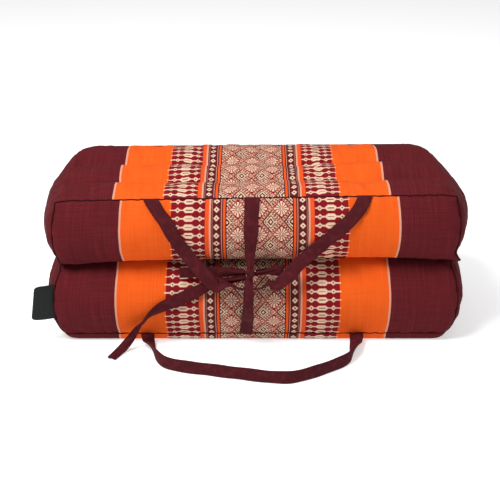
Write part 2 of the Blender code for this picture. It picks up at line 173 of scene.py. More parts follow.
def face_normals(points, faces):
    """The normals of the points: what their quads face, added up, with length 1."""
    facing = quad_facing(points, faces)
    total = np.zeros_like(points)
    for k in range(4):
        np.add.at(total, faces[:, k], facing)
    return unit(total)


def turned_out(points, faces, uv):
    """Quads and cloth places, turned round where the sign of the volume is wrong.

    The volume is a sum over the quads: the middle of each times the way it faces.
    """
    middles = points[faces].mean(axis=1) - points.mean(axis=0)
    if np.sum(quad_facing(points, faces) * middles) < 0.0:
        return faces[:, ::-1], uv.reshape(-1, 4, 2)[:, ::-1].reshape(-1, 2)
    return faces, uv


def read_vectors(mesh, key="co"):
    """The points of a mesh, or its normals, as a table of x, y and z."""
    values = np.empty(len(mesh.vertices) * 3, dtype=np.float32)
    mesh.vertices.foreach_get(key, values)
    return values.reshape(-1, 3).astype(float)


# %% [markdown]
# Shader maths reads best as plain expressions. This small class wraps a node's output and
# turns each operator into a Math node, so that "1 - mask" builds a subtraction. The Look
# class holds a material: its "node" method adds any other node from a type, its settings
# and the values or links of its sockets.

# %% Shader expressions


class Value:
    """One number that varies over a surface, with the operators of Python."""

    def __init__(self, look, socket):
        self.look = look
        self.socket = socket

    def _math(self, operation, *others):
        inputs = dict(enumerate((self, *others)))
        return self.look.node("ShaderNodeMath", {"operation": operation}, inputs)

    def __add__(self, other):
        return self._math("ADD", other)

    def __radd__(self, other):
        return self + other

    def __sub__(self, other):
        return self._math("SUBTRACT", other)

    def __rsub__(self, other):
        return self * -1.0 + other

    def __mul__(self, other):
        return self._math("MULTIPLY", other)

    def __rmul__(self, other):
        return self * other

    def __truediv__(self, other):
        return self._math("DIVIDE", other)

    def __abs__(self):
        return self._math("ABSOLUTE")

    def __lt__(self, other):
        return self._math("LESS_THAN", other)

    def __gt__(self, other):
        return self._math("GREATER_THAN", other)

    def __pow__(self, other):
        return self._math("POWER", other)

    def fraction(self):
        return self._math("FRACT")

    def floor(self):
        return self._math("FLOOR")

    def sine(self):
        return self._math("SINE")

    def smaller(self, other):
        return self._math("MINIMUM", other)

    def angle_from(self, other):
        return self._math("ARCTAN2", other)

    def between(self, low, high):
        """1 inside a band and 0 outside it."""
        return (self > low) * (self < high)


class Look:
    """A material with its Principled shader."""

    def __init__(self, name, roughness=0.85, sheen=0.015):
        self.material = bpy.data.materials.new(name)
        self.material.use_nodes = True
        self.tree = self.material.node_tree
        self.shader = self.tree.nodes["Principled BSDF"]
        self.shader.inputs["Roughness"].default_value = roughness
        self.shader.inputs["Specular IOR Level"].default_value = 0.10
        self.shader.inputs["Sheen Weight"].default_value = sheen
        self.shader.inputs["Sheen Roughness"].default_value = 0.35

    def set_socket(self, socket, value):
        if isinstance(value, Value):
            value = value.socket
        if hasattr(value, "is_output"):
            self.tree.links.new(value, socket)
        else:
            socket.default_value = value

    def node(self, kind, settings=None, inputs=None, output=0):
        """Any node: its type, its settings, its sockets by name or number, and the output wanted."""
        made = self.tree.nodes.new(kind)
        for key, value in (settings or {}).items():
            setattr(made, key, value)
        for key, value in (inputs or {}).items():
            self.set_socket(made.inputs[key], value)
        return Value(self, made.outputs[output])

    def mix(self, first, second, share):
        """A colour between two colours."""
        settings = {"data_type": "RGBA", "clamp_factor": True}
        return self.node("ShaderNodeMix", settings, {0: share, 6: first, 7: second}, 2)

    def cloth_place(self):
        """The place on the flat cloth, in metres, from the piece's own UV map."""
        return self.node("ShaderNodeUVMap", {"uv_map": "cloth"})

    def parts(self, place):
        """How far across and along the cloth a place is."""
        across = self.node("ShaderNodeSeparateXYZ", {}, {0: place})
        return across, Value(self, across.socket.node.outputs[1])

    def noise(self, place, waves, detail=2.0, shift=(0.0, 0.0)):
        """Soft noise from 0 to 1, of so many waves a metre across and along the cloth."""
        moved = {"Vector": place, "Scale": (*waves, 1.0), "Location": (*shift, 0.0)}
        inputs = {"Vector": self.node("ShaderNodeMapping", {}, moved), "Scale": 1.0}
        inputs.update({"Detail": detail, "Roughness": 0.5})
        return self.node("ShaderNodeTexNoise", {}, inputs)

    def finish(self, colour, height=None, distance=0.0002, strength=1.0, roughness=None):
        """Joins colour, bump height and roughness to the shader and gives back the material."""
        self.set_socket(self.shader.inputs["Base Color"], colour)
        if roughness is not None:
            self.set_socket(self.shader.inputs["Roughness"], roughness)
        if height is not None:
            inputs = {"Height": height, "Distance": distance, "Strength": strength}
            self.set_socket(self.shader.inputs["Normal"], self.node("ShaderNodeBump", {}, inputs))
        return self.material


# %% [markdown]
# The cushions. A box cushion is a box in the cutter's mind: every point of its skin has
# coordinates u, v and w from -1 to 1. One function turns those into the stuffed form, with
# the border bulging between its seams, the corners rounded and each channel arched. A cube
# that is subdivided and swollen would be quicker, but its seams and sewn channels would be
# lost. The fold pulls the lower half's border in deeply at the crease, the upper one's a little.

# %% Cushion sizes
SEAM_HALF_DEPTH = 0.0825
CHANNELS = 3
CHANNEL_PITCH = 2.0 * SEAM_HALF_DEPTH / CHANNELS
CORNER_BULGE = 0.006
SIDE_BULGE = 0.0125
CREASE_PULL_REACH = 0.24
END_SLANT = 0.0095
SEAM_WOBBLE = 0.0004
# columns: radians a metre, share, start
SEAM_WAVES = ((610.0, 0.6, 1.0), (990.0, 0.4, 2.4))
SEAM_WOBBLE_REACH = 0.0035
FRONT_PLAN_RADIUS = 0.008
BACK_PLAN_RADIUS = 0.020
CORNER_POWER = 1.5
CHANNEL_CROWNS = np.array([0.0085, 0.0105, 0.0055])
VALLEY_DROP = 0.0078
ARCH_POWER = 0.75
CROWN_END = 0.023
CROWN_END_POWER = 2.8
UNEVENNESS = 0.0009
# columns: radians a metre, share, start, step from channel to channel
RIPPLES = ((41.0, 1.0, 0.0, 2.1), (97.0, 0.6, 0.7, 1.3))
FLAT_EDGE = 0.0075
FLAT_EDGE_POWER = 2.8
FLAT_VALLEY = 0.0045
FLAT_VALLEY_WIDTH = 0.011
FLAT_VALLEY_POWER = 1.5
CREASE_HEIGHT = 0.0815
# The stack leans a little to the left and to the back
CREASE_LEAN = 0.015
CREASE_DROP = 0.003
CREASE_DROP_AT = 0.165
TOP_SINK = (-0.0017, -0.0031)
TOP_LEAN = (0.0162, 0.0075)
CUSHIONS = {
    "cushion_lower": {
        "half_width": 0.1850, "end_bulge": 0.0165, "bottom": 0.0, "bottom_seam": 0.0085,
        "top_seam": 0.0808, "top": 0.0814, "top_is_free": False,
        "top_radius": 0.013, "bottom_radius": (0.0105, 0.0125), "shift": -0.0004,
        "top_power": 1.30, "bottom_power": 0.58, "front_bottom_power": 1.05,
        "crease_side": 1.0, "crease_pull": 0.0150, "slant": 0.0,
    },
    "cushion_upper": {
        "half_width": 0.1832, "end_bulge": 0.0208, "bottom": 0.0817, "bottom_seam": 0.0825,
        "top_seam": 0.146, "top": None, "top_is_free": True,
        "top_radius": 0.010, "bottom_radius": (0.008, 0.008), "shift": 0.0,
        "top_power": 0.75, "bottom_power": 0.62, "front_bottom_power": 0.82,
        "crease_side": -1.0, "crease_pull": 0.0050, "slant": END_SLANT,
    },
}

# %% The form of a stuffed cushion


def half_height(size):
    """Half the height between a cushion's two border seams."""
    return (size["top_seam"] - size["bottom_seam"]) / 2.0


def middle_height(size):
    """The height halfway between the two border seams."""
    return (size["top_seam"] + size["bottom_seam"]) / 2.0


def ways_to_edges(size, u, v, w):
    """Distances from the ends, from the long sides and from the level panels."""
    to_end = (1.0 - np.abs(u)) * size["half_width"]
    to_side = (1.0 - np.abs(v)) * SEAM_HALF_DEPTH
    to_panel = (1.0 - np.abs(w)) * half_height(size)
    return to_end, to_side, to_panel


def ramp(distance, reach, power):
    """0 at an edge, rounding up to exactly 1 at the reach: 1 - (1 - d / reach) to a power."""
    t = np.clip(distance / reach, 0.0, 1.0)
    return 1.0 - (1.0 - t) ** power


def wave_sum(waves, along, shift=0.0):
    """Sines added up, each a share of the sine of its radians a metre times the way, plus a start."""
    return sum(share * np.sin(turns * along + start + shift) for turns, share, start in waves)


def border_bulge(size, w, side="end"):
    """Fullness of the border strip: the cosine of w times a quarter turn, to a power."""
    low_power = size["bottom_power"] if side == "end" else size["front_bottom_power"]
    power = np.where(w > 0.0, size["top_power"], low_power)
    return np.maximum(np.cos(np.pi * w / 2.0), 0.0) ** power


def crease_pull(size, w):
    """How far the fold draws the seam in at the crease, fading away as 1 over e to the distance."""
    away = 1.0 - w * size["crease_side"]
    return size["crease_pull"] * np.exp(-away / CREASE_PULL_REACH)


def side_bulge(u):
    """Greatest bulge along the front and back, flat in the middle and less at the corners."""
    return CORNER_BULGE + (SIDE_BULGE - CORNER_BULGE) * (1.0 - np.abs(u) ** 6)


def end_bulge(size, v):
    """Greatest bulge along an end, a parabola across the depth."""
    return CORNER_BULGE + (size["end_bulge"] - CORNER_BULGE) * (1.0 - v * v)


def channel_place(v):
    """Which channel a depth lies in, and how far across it, from 0 to 1."""
    across = (v + 1.0) / 2.0 * CHANNELS
    channel = np.minimum((across + 1e-9).astype(int), CHANNELS - 1)
    return channel, across - channel


def free_crown(size, u, v):
    """An arch in each channel, 4 s (1 - s) to a power, less a valley drop, fading at the ends."""
    channel, s = channel_place(v)
    near = np.where(channel > 0, 1.0, s)
    far = np.where(channel < CHANNELS - 1, 1.0, 1.0 - s)
    x = u * size["half_width"]
    ripple = sum(share * np.sin(turns * x + start + step * channel)
                 for turns, share, start, step in RIPPLES)
    arch = (4.0 * s * (1.0 - s)) ** ARCH_POWER * (CHANNEL_CROWNS[channel] + UNEVENNESS * ripple)
    height = arch - VALLEY_DROP * np.minimum(near, far)
    return height * ramp((1.0 - np.abs(u)) * size["half_width"], CROWN_END, CROWN_END_POWER)


def flat_crown(size, u, v, depth):
    """A pressed panel: its full depth inside the edges, less where a sewn valley lifts off."""
    channel, s = channel_place(v)
    to_low = np.where(channel > 0, s * CHANNEL_PITCH, CHANNEL_PITCH)
    to_high = np.where(channel < CHANNELS - 1, (1.0 - s) * CHANNEL_PITCH, CHANNEL_PITCH)
    valley = np.maximum(1.0 - np.minimum(to_low, to_high) / FLAT_VALLEY_WIDTH, 0.0) ** FLAT_VALLEY_POWER
    edge = ramp((1.0 - np.abs(u)) * size["half_width"], FLAT_EDGE, FLAT_EDGE_POWER)
    edge = edge * ramp((1.0 - np.abs(v)) * SEAM_HALF_DEPTH, FLAT_EDGE, FLAT_EDGE_POWER)
    return edge * (depth - FLAT_VALLEY * valley)


def rounded_pair(a, half_a, b, half_b, radius):
    """Two coordinates of a box, their shared corner turned into a quarter circle."""
    ea = np.maximum((np.abs(a) - (half_a - radius)) / radius, 0.0)
    eb = np.maximum((np.abs(b) - (half_b - radius)) / radius, 0.0)
    both = (ea > 0.0) & (eb > 0.0)
    qa = np.copysign(half_a - radius + radius * ea * np.sqrt(1.0 - np.minimum(eb, 1.0) ** 2 / 2.0), a)
    qb = np.copysign(half_b - radius + radius * eb * np.sqrt(1.0 - np.minimum(ea, 1.0) ** 2 / 2.0), b)
    return np.where(both, qa, a), np.where(both, qb, b)


def settling(x, y, z):
    """How far the stack has sunk: a leaning plane at the crease and one at the top, blended by height."""
    back = np.clip(y / SEAM_HALF_DEPTH / 2.0 + 0.5, 0.0, 1.0)
    crease = CREASE_LEAN * x - CREASE_DROP * np.clip(np.abs(x) / CREASE_DROP_AT, 0.0, 1.0) ** 6
    top = TOP_SINK[0] + TOP_LEAN[0] * x
    top = top + back * (TOP_SINK[1] + TOP_LEAN[1] * x - top)
    low = np.clip(z / CREASE_HEIGHT, 0.0, 1.0)
    high = np.clip((z - CREASE_HEIGHT) / (CUSHIONS["cushion_upper"]["top_seam"] - CREASE_HEIGHT), 0.0, 1.0)
    return crease * low * (1.0 - high) + top * high


def cushion_points(size, u, v, w):
    """The skin: a box, its corners rounded, plus the border's bulge and the panels' crowns.

    The front's free seams and the corner seams also stray a little, fading away from them as
    1 over e to the distance.
    """
    half_width = size["half_width"]
    x, y, z = u * half_width, v * SEAM_HALF_DEPTH, w * half_height(size)
    plan_radius = np.where(v > 0.0, BACK_PLAN_RADIUS, FRONT_PLAN_RADIUS)
    x, y = rounded_pair(x, half_width, y, SEAM_HALF_DEPTH, plan_radius)
    low_radius = np.where(u < 0.0, *size["bottom_radius"])
    radius = np.where(w > 0.0, size["top_radius"], low_radius)
    turned_x, turned_z = rounded_pair(x, half_width, z, half_height(size), radius)
    near_face = ramp(np.abs(v) * SEAM_HALF_DEPTH - (SEAM_HALF_DEPTH - radius), radius, CORNER_POWER)
    x = x + (turned_x - x) * near_face
    z = z + (turned_z - z) * near_face
    x = x + u * end_bulge(size, v) * border_bulge(size, w)
    x = x - size["slant"] * np.maximum(u, 0.0) ** 3 * ((v + 1.0) / 2.0) ** 1.5
    y = y + v * (side_bulge(u) * border_bulge(size, w, "front") - crease_pull(size, w))
    if size["top_is_free"]:
        crown = free_crown(size, u, v)
    else:
        crown = flat_crown(size, u, v, size["top"] - size["top_seam"])
    z = z + np.where(w >= 1.0, crown, 0.0)
    z = z - np.where(w <= -1.0, flat_crown(size, u, v, size["bottom_seam"] - size["bottom"]), 0.0)
    to_end, to_side, to_panel = ways_to_edges(size, u, v, w)
    strays = SEAM_WOBBLE * (v < 0.0) * (w * size["crease_side"] < 0.0)
    z = z + strays * wave_sum(SEAM_WAVES, x) * np.exp(-(to_side + to_panel) / SEAM_WOBBLE_REACH)
    strays = SEAM_WOBBLE * np.sign(u)
    x = x + strays * wave_sum(SEAM_WAVES, z) * np.exp(-(to_side + to_end) / SEAM_WOBBLE_REACH)
    z = z + middle_height(size)
    return np.stack([x + size["shift"], y, z + settling(x, y, z)], axis=-1)


# %% [markdown]
# The skin is cut into six panels, as the maker cuts it. Their edges share points, so the
# cushion is closed, but each panel keeps its own place on the flat cloth. Grid lines crowd
# near the seams and the sewn valleys, where the cloth turns sharply.

# %% Panels on one lattice
ALONG_STEP = 0.0042
SEAM_STEPS = np.array([0.0, 0.0012, 0.0028, 0.0050])
UP_STEP = 0.0042
CHANNEL_STEP = 0.0042


def stations(length, step):
    """Places from 0 to a length: close together near both ends, even in between."""
    inner = length - 2.0 * SEAM_STEPS[-1]
    middle = SEAM_STEPS[-1] + np.linspace(0.0, inner, max(int(round(inner / step)), 2) + 1)
    return np.concatenate([SEAM_STEPS[:-1], middle, length - SEAM_STEPS[-2::-1]])


def arc_length(points):
    """Distance along a row of points, from 0 at the first."""
    steps = np.linalg.norm(np.diff(points, axis=0), axis=1)
    return np.concatenate([[0.0], np.cumsum(steps)])


# Where the flat cloth of each panel starts: the pattern's middle along X, and its start along V
CLOTH_PLACE = {
    "cushion_upper": {"panel_u": -0.0040, "border_u": 0.0033, "panel_v": 0.0100, "border_v": 0.0105},
    "cushion_lower": {"panel_u": -0.0030, "border_u": -0.0026, "panel_v": 0.0100, "border_v": 0.0060},
}


def cushion_lattice(name):
    """Points u, v and w of the skin, its quads, and the flat place of each quad's corners."""
    size = CUSHIONS[name]
    place = CLOTH_PLACE[name]
    half_width = size["half_width"]
    along = stations(2.0 * half_width, ALONG_STEP) / half_width - 1.0
    one = stations(CHANNEL_PITCH, CHANNEL_STEP)[:-1]
    starts = np.arange(CHANNELS)[:, None] * CHANNEL_PITCH
    depth = np.append((starts + one).ravel(), 2.0 * SEAM_HALF_DEPTH) / SEAM_HALF_DEPTH - 1.0
    up = stations(2.0 * half_height(size), UP_STEP) / half_height(size) - 1.0
    for row in (along, depth, up):
        row[0], row[-1] = -1.0, 1.0
    axes = (along, depth, up)
    counts = [len(row) for row in axes]
    middle = np.zeros_like(depth)
    top_arc = arc_length(cushion_points(size, middle, depth, middle + 1.0))
    low_arc = arc_length(cushion_points(size, middle, depth, middle - 1.0))
    middle = np.zeros_like(up)
    up_arc = arc_length(cushion_points(size, middle, middle - 1.0, up))
    end_arc = arc_length(cushion_points(size, np.zeros_like(depth) + 1.0, depth, np.zeros_like(depth)))
    quads, corners = [], []
    for axis in range(3):
        first, second = [other for other in range(3) if other != axis]
        a, b = np.meshgrid(np.arange(counts[first]), np.arange(counts[second]), indexing="ij")
        for end in (0, counts[axis] - 1):
            index = [None, None, None]
            index[axis] = np.full_like(a, end)
            index[first], index[second] = a, b
            key = (index[0] * counts[1] + index[1]) * counts[2] + index[2]
            u, v, w = (axes[k][index[k]] for k in range(3))
            points = cushion_points(size, u, v, w)
            cloth_x = (u * half_width + points[..., 0] - size["shift"]) / 2.0
            cloth_v = up_arc[index[2]] + place["border_v"]
            if axis == 2:
                arc = top_arc if end else low_arc
                flat = np.stack([cloth_x - place["panel_u"], arc[index[1]] + place["panel_v"]], axis=-1)
            elif axis == 1:
                flat = np.stack([cloth_x - place["border_u"], cloth_v], axis=-1)
            else:
                flat = np.stack([half_width + end_arc[index[1]], cloth_v], axis=-1)
            cells = grid_quads(*a.shape)
            if (axis == 1) != bool(end):
                cells = cells[:, ::-1]
            quads.append(key.reshape(-1)[cells])
            corners.append(flat.reshape(-1, 2)[cells].reshape(-1, 2))
    quads = np.concatenate(quads)
    used, faces = np.unique(quads, return_inverse=True)
    faces = faces.reshape(quads.shape)
    k = used % counts[2]
    j = used // counts[2] % counts[1]
    i = used // (counts[2] * counts[1])
    return along[i], depth[j], up[k], faces, np.concatenate(corners)


# %% [markdown]
# Hand sewing and loose kapok leave a cushion a little lumpy, and the cloth puckers where a
# seam holds it back. Both are added along the normals: slow lumps all over, and short
# ripples that run off each seam and die away within two centimetres.

# %% Lumps and puckers
LUMP_HEIGHT = 0.0009
LUMP_REACH = 0.012
PUCKER_HEIGHT = 0.0011
PUCKER_REACH = 0.0095
PUCKER_FADE = 0.02
# columns: radians a metre, share, start
PUCKER_WAVES = ((190.0, 0.5, 0.4), (317.0, 0.35, 2.2), (523.0, 0.25, 4.1))


def seam_distance(size, u, v, w):
    """Distance from the nearest seam or sewn valley on the panel a point belongs to."""
    to_end, to_side, to_panel = ways_to_edges(size, u, v, w)
    _, s = channel_place(v)
    to_valley = np.minimum(s, 1.0 - s) * CHANNEL_PITCH
    on_border = np.minimum(to_panel, np.where(np.abs(v) >= 1.0, to_end, to_side))
    return np.where(np.abs(w) >= 1.0, np.minimum(to_valley, to_end), on_border)


def relief(size, u, v, w, points):
    """Height added along the normal: lumps as products of sines, puckers times a fading distance."""
    x, y, z = points.T
    slow = np.sin(31 * x + 47 * z + 1.0) * np.sin(43 * y + 29 * z + 0.4)
    quick = np.sin(71 * x - 53 * z) * np.cos(61 * y + 2.0)
    along = np.where(np.abs(u) >= 1.0, y, x) + 0.15 * z
    pucker = wave_sum(PUCKER_WAVES, along, 9.0 * w + 5.0 * v)
    away = seam_distance(size, u, v, w)
    fade = away / PUCKER_REACH * np.exp(1.0 - away / PUCKER_REACH - away / PUCKER_FADE)
    lumps = LUMP_HEIGHT * (slow + 0.6 * quick) * ramp(away, LUMP_REACH, 2.0)
    return lumps + PUCKER_HEIGHT * pucker * fade


# %% [markdown]
# The swelling is left to a cloth solver, as a real cover finds its own shape over the
# stuffing. The seams and valleys are pinned, pressure pushes the panels out, and a little
# extra cloth turns into wrinkles. Of each point's move only the part along the skin's normal
# is taken over, at most a cap, so that the cushion keeps its size and the pattern its place.

# %% Swell the cover
SWELL_FRAMES = 16
SWELL_CAP = 0.0022
BORDER_CAP = 0.0004
FRONT_PROUD = 0.0003
PIN_REACH = 0.0004
CLOTH_SETTINGS = {
    "quality": 5,
    "mass": 0.15,
    "tension_stiffness": 20.0,
    "compression_stiffness": 20.0,
    "shear_stiffness": 8.0,
    "bending_stiffness": 0.4,
    "use_pressure": True,
    "uniform_pressure_force": 4.0,
    "shrink_min": -0.015,
    "vertex_group_mass": "pins",
}


def swell(piece, pinned, cap):
    """Runs Blender's cloth on a copy and gives back how far each point swelled, at most the cap."""
    scene = bpy.context.scene
    copy = bpy.data.objects.new("swelling", piece.data.copy())
    scene.collection.objects.link(copy)
    copy.vertex_groups.new(name="pins").add(np.flatnonzero(pinned).tolist(), 1.0, "REPLACE")
    cloth = copy.modifiers.new("cloth", "CLOTH")
    for key, value in CLOTH_SETTINGS.items():
        setattr(cloth.settings, key, value)
    cloth.settings.effector_weights.gravity = 0.0
    cloth.collision_settings.use_collision = False
    cloth.collision_settings.use_self_collision = False
    cloth.point_cache.frame_start = 1
    cloth.point_cache.frame_end = SWELL_FRAMES
    for step in range(1, SWELL_FRAMES + 1):
        scene.frame_set(step)
    grown = copy.evaluated_get(bpy.context.evaluated_depsgraph_get()).data
    moved = read_vectors(grown) - read_vectors(piece.data)
    scene.frame_set(1)
    bpy.data.objects.remove(copy, do_unlink=True)
    normals = read_vectors(piece.data, "normal")
    return normals * np.clip(np.sum(moved * normals, axis=1), -cap, cap)[:, None]


# %% Soft ends and corners
END_SOFTNESS = 0.016
END_ROUNDS = 24
GROUND_SOFTNESS = 0.3
EAR = 0.0030
EAR_REACH = 0.0050
EAR_WAY = (0.8, 0.4, 0.2)
BACK_EAR = 0.3
GROUND_EAR = 0.2
# The corner seam of the upper half that ends in a small tuft of turned cloth
TUFT_CORNER = (1, -1, -1)
TUFT = 3.6


def soften_ends(size, u, v, w, points, faces):
    """Rounds the edge between each end and the panels: every point drifts to its neighbours' mean."""
    to_end, _, to_panel = ways_to_edges(size, u, v, w)
    near = np.clip(1.0 - (to_end + to_panel) / END_SOFTNESS, 0.0, 1.0)[:, None]
    low = (w <= -1.0) | ((w < 0.0) & (not size["top_is_free"]))
    near = near * np.where(low, GROUND_SOFTNESS, 1.0)[:, None]
    count = np.zeros(len(points))
    for k in range(4):
        np.add.at(count, faces[:, k], 2.0)
    for _ in range(END_ROUNDS):
        total = np.zeros_like(points)
        for k in range(4):
            beside = points[faces[:, (k + 1) % 4]] + points[faces[:, (k + 3) % 4]]
            np.add.at(total, faces[:, k], beside)
        points = points + near * 0.5 * (total / count[:, None] - points)
    return points


def ears(size, u, v, w, points):
    """Small points where three seams meet: an outward push that fades with the distance squared."""
    moved = points.copy()
    for corner in ((a, b, c) for a in (-1, 1) for b in (-1, 1) for c in (-1, 1)):
        at = points[(u == corner[0]) & (v == corner[1]) & (w == corner[2])][0]
        near = np.exp(-np.sum((points - at) ** 2, axis=1) / EAR_REACH ** 2)
        share = BACK_EAR if corner[1] > 0 else 1.0
        if size["top_is_free"] and corner == TUFT_CORNER:
            share = TUFT
        if corner[2] < 0 and not size["top_is_free"]:
            share *= GROUND_EAR
        moved += near[:, None] * EAR * share * np.array(corner) * EAR_WAY
    return moved


# %% Make the two cushions
seam_loops = {}


def make_cushion(name):
    """One cushion: its lattice, its stuffed form, lumps and puckers, then the swelling."""
    size = CUSHIONS[name]
    u, v, w, faces, uv = cushion_lattice(name)
    points = cushion_points(size, u, v, w)
    faces, uv = turned_out(points, faces, uv)
    still = (w <= -1.0) | ((w >= 1.0) & (not size["top_is_free"]))
    height = relief(size, u, v, w, points)
    height[still] = 0.0
    height[v <= -1.0] = np.minimum(height[v <= -1.0], FRONT_PROUD)
    points = points + face_normals(points, faces) * height[:, None]
    points = ears(size, u, v, w, soften_ends(size, u, v, w, points, faces))
    piece = add_piece(name + "_cover", points, faces, uv)
    pinned = still | (seam_distance(size, u, v, w) < PIN_REACH)
    moved = swell(piece, pinned, np.where(np.abs(v) >= 1.0, BORDER_CAP, SWELL_CAP))
    points = points + moved
    piece.data.vertices.foreach_set("co", points.astype(np.float32).ravel())
    piece.data.update()
    print(name, "moved", round(float(np.abs(moved).max()) * 1000, 2), "mm at most")
    seam_loops[name] = []
    for side in (-1.0, 1.0):
        edge = np.flatnonzero((v == side) & ((np.abs(u) >= 1.0) | (np.abs(w) >= 1.0)))
        turn = np.arctan2(w[edge], u[edge])
        seam_loops[name].append(points[edge[np.argsort(turn)]])
    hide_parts(name)
    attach(piece, "root")
    print(name, len(piece.data.polygons), "quads")
    return piece


covers = {name: make_cushion(name) for name in CUSHIONS}

# %% [markdown]
# The cover cloth is woven in stripes: a lattice of flowers in the middle, then narrow bands,
# a block of beads, a broad orange field and maroon ends. An image could be wrapped round it,
# but rules stay sharp at any distance. The cloth's own coordinates, in millimetres, drive
# them. Every motif is a rule about distances, a diamond is where two of them add up to less
# than one, and the rules are stepped to the size of the threads, as on a loom.

# %% Woven cover: sizes of the pattern, in millimetres from its middle line
THREAD_U = 0.45
THREAD_V = 0.50
ROW_PITCH = 7.9
FLOWER_PITCH_U = 19.55
FLOWER_PITCH_V = 23.7
PETALS = 12
PETAL_GAP = 0.075
PETAL_EDGE = 0.08
PETAL_LIMIT = 0.72
FLOWER_RADIUS = 6.9
FLOWER_EYE = 0.6
# Shares of the way from a diamond's middle to its edge
RINGS = ((-1.0, 0.14), (0.30, 0.43), (0.58, 0.65))
DOT_BANDS = ((0.44, 0.58), (0.66, 0.79))
DARK_GROUND = 0.86
# Shares of the way from a diamond's edge to its middle
LATTICE_LINE = (0.095, 0.175)
CHECK_WIDTH = 0.065
# Checks from one lattice line to the next
CHECKS = 6.0
# columns: from, to, colour
STRIPES = (
    (29.7, 30.4, "maroon_dark"),
    (30.4, 33.0, "orange_stripe"),
    (33.0, 33.7, "maroon_dark"),
    (33.7, 34.6, "mauve"),
    (34.6, 42.1, "maroon"),
    (42.1, 42.8, "mauve"),
    (42.8, 43.5, "maroon_dark"),
    (43.5, 45.4, "cream_pink"),
    (45.4, 49.0, "orange_stripe"),
    (49.0, 79.6, "crimson"),
    (79.6, 124.8, "orange"),
    (124.8, 126.5, "cream_pink"),
)
# columns: middle, half across, half along. The first row is the chain, the others are beads
DIAMONDS = ((38.7, 2.8, 2.9), (53.7, 3.1, 2.6), (73.8, 2.8, 2.6))
LONG_BEAD = (63.7, 5.8, 2.7)
LONG_BEAD_FLAT = 2.9
BEAD_HOLE = 0.36
BEAD_SLOT = 0.4
BEAD_LINE = (49.3, 80.8)
BEAD_LINE_HALF = 0.62
# Waves a metre, across and along the cloth, of its slubs and of the weave's slow drift
SLUBS_LONG = (620.0, 18.0)
SLUBS_WIDE = (26.0, 620.0)
DRIFT_U = (18.0, 18.0)
DRIFT_V = (14.0, 14.0)
# How far the weave drifts across and along
DRIFT = (0.9, 1.2)


def diamond(across, along, half_across, half_along):
    """1 where |across| / half + |along| / half is under 1."""
    return (abs(across) / half_across + abs(along) / half_along) < 1.0


def repeat(place, pitch):
    """Where a place lies in its repeat, from half a pitch before the middle to half a pitch after."""
    return ((place / pitch + 0.5).fraction() - 0.5) * pitch


def lattice_cloth(look, u, v, colours):
    """The flower lattice: double diagonal lines, a flower in one diamond, rings in the next.

    |x| and |y|, each over half a repeat, add up to 0 in a flower's middle, to 1 at the edge of
    its diamond and to 2 in the middle of the next diamond, where the rings lie.
    """
    x = repeat(u, FLOWER_PITCH_U)
    y = repeat(v, FLOWER_PITCH_V)
    from_flower = abs(x) / (FLOWER_PITCH_U / 2.0) + abs(y) / (FLOWER_PITCH_V / 2.0)
    radius = (x * x + y * y) ** 0.5
    turn = (y.angle_from(x) * (PETALS / (2.0 * math.pi)) + 0.5).fraction() - 0.5
    gap = (0.5 - abs(turn)) * radius * (2.0 * math.pi / PETALS)
    petals = (gap > radius * PETAL_GAP + PETAL_EDGE) * (radius < FLOWER_RADIUS)
    petals = petals * (from_flower < PETAL_LIMIT) + (radius < FLOWER_EYE)
    from_ring = 2.0 - from_flower
    rising = u / FLOWER_PITCH_U + v / FLOWER_PITCH_V
    falling = u / FLOWER_PITCH_U - v / FLOWER_PITCH_V
    from_rising = abs(rising.fraction() - 0.5) * 2.0
    from_falling = abs(falling.fraction() - 0.5) * 2.0
    line = (from_rising.between(*LATTICE_LINE) + from_falling.between(*LATTICE_LINE)).smaller(1.0)
    check_rising = (rising * CHECKS).fraction() < 0.5
    check_falling = (falling * CHECKS).fraction() < 0.5
    dots = (from_rising < CHECK_WIDTH) * check_falling + (from_falling < CHECK_WIDTH) * check_rising
    for band in DOT_BANDS:
        dots = dots + check_rising * check_falling * from_ring.between(*band)
    motif = petals + dots
    for band in RINGS:
        motif = motif + from_ring.between(*band)
    ground = look.mix(colours["crimson"], COLOURS["umber"], from_flower > DARK_GROUND)
    colour = look.mix(ground, colours["cream"], motif)
    return look.mix(colour, COLOURS["pink"], line), (motif + line).smaller(1.0)


def bead_cloth(a, row):
    """Where beads lie, and their holes: diamonds, long beads with cut corners, and their string."""
    middle, half_across, half_along = LONG_BEAD
    from_middle = abs(a - middle)
    slant = abs(row) * ((half_across - LONG_BEAD_FLAT) / half_along)
    beads = (abs(row) < half_along) * ((from_middle + slant) < half_across)
    beads = beads + (abs(row) < BEAD_LINE_HALF) * a.between(*BEAD_LINE)
    holes = (from_middle < LONG_BEAD_FLAT) * (abs(row) < BEAD_SLOT)
    for middle, half_across, half_along in DIAMONDS:
        beads = beads + diamond(a - middle, row, half_across, half_along)
        holes = holes + diamond(a - middle, row, half_across * BEAD_HOLE, half_along * BEAD_HOLE)
    return beads, holes


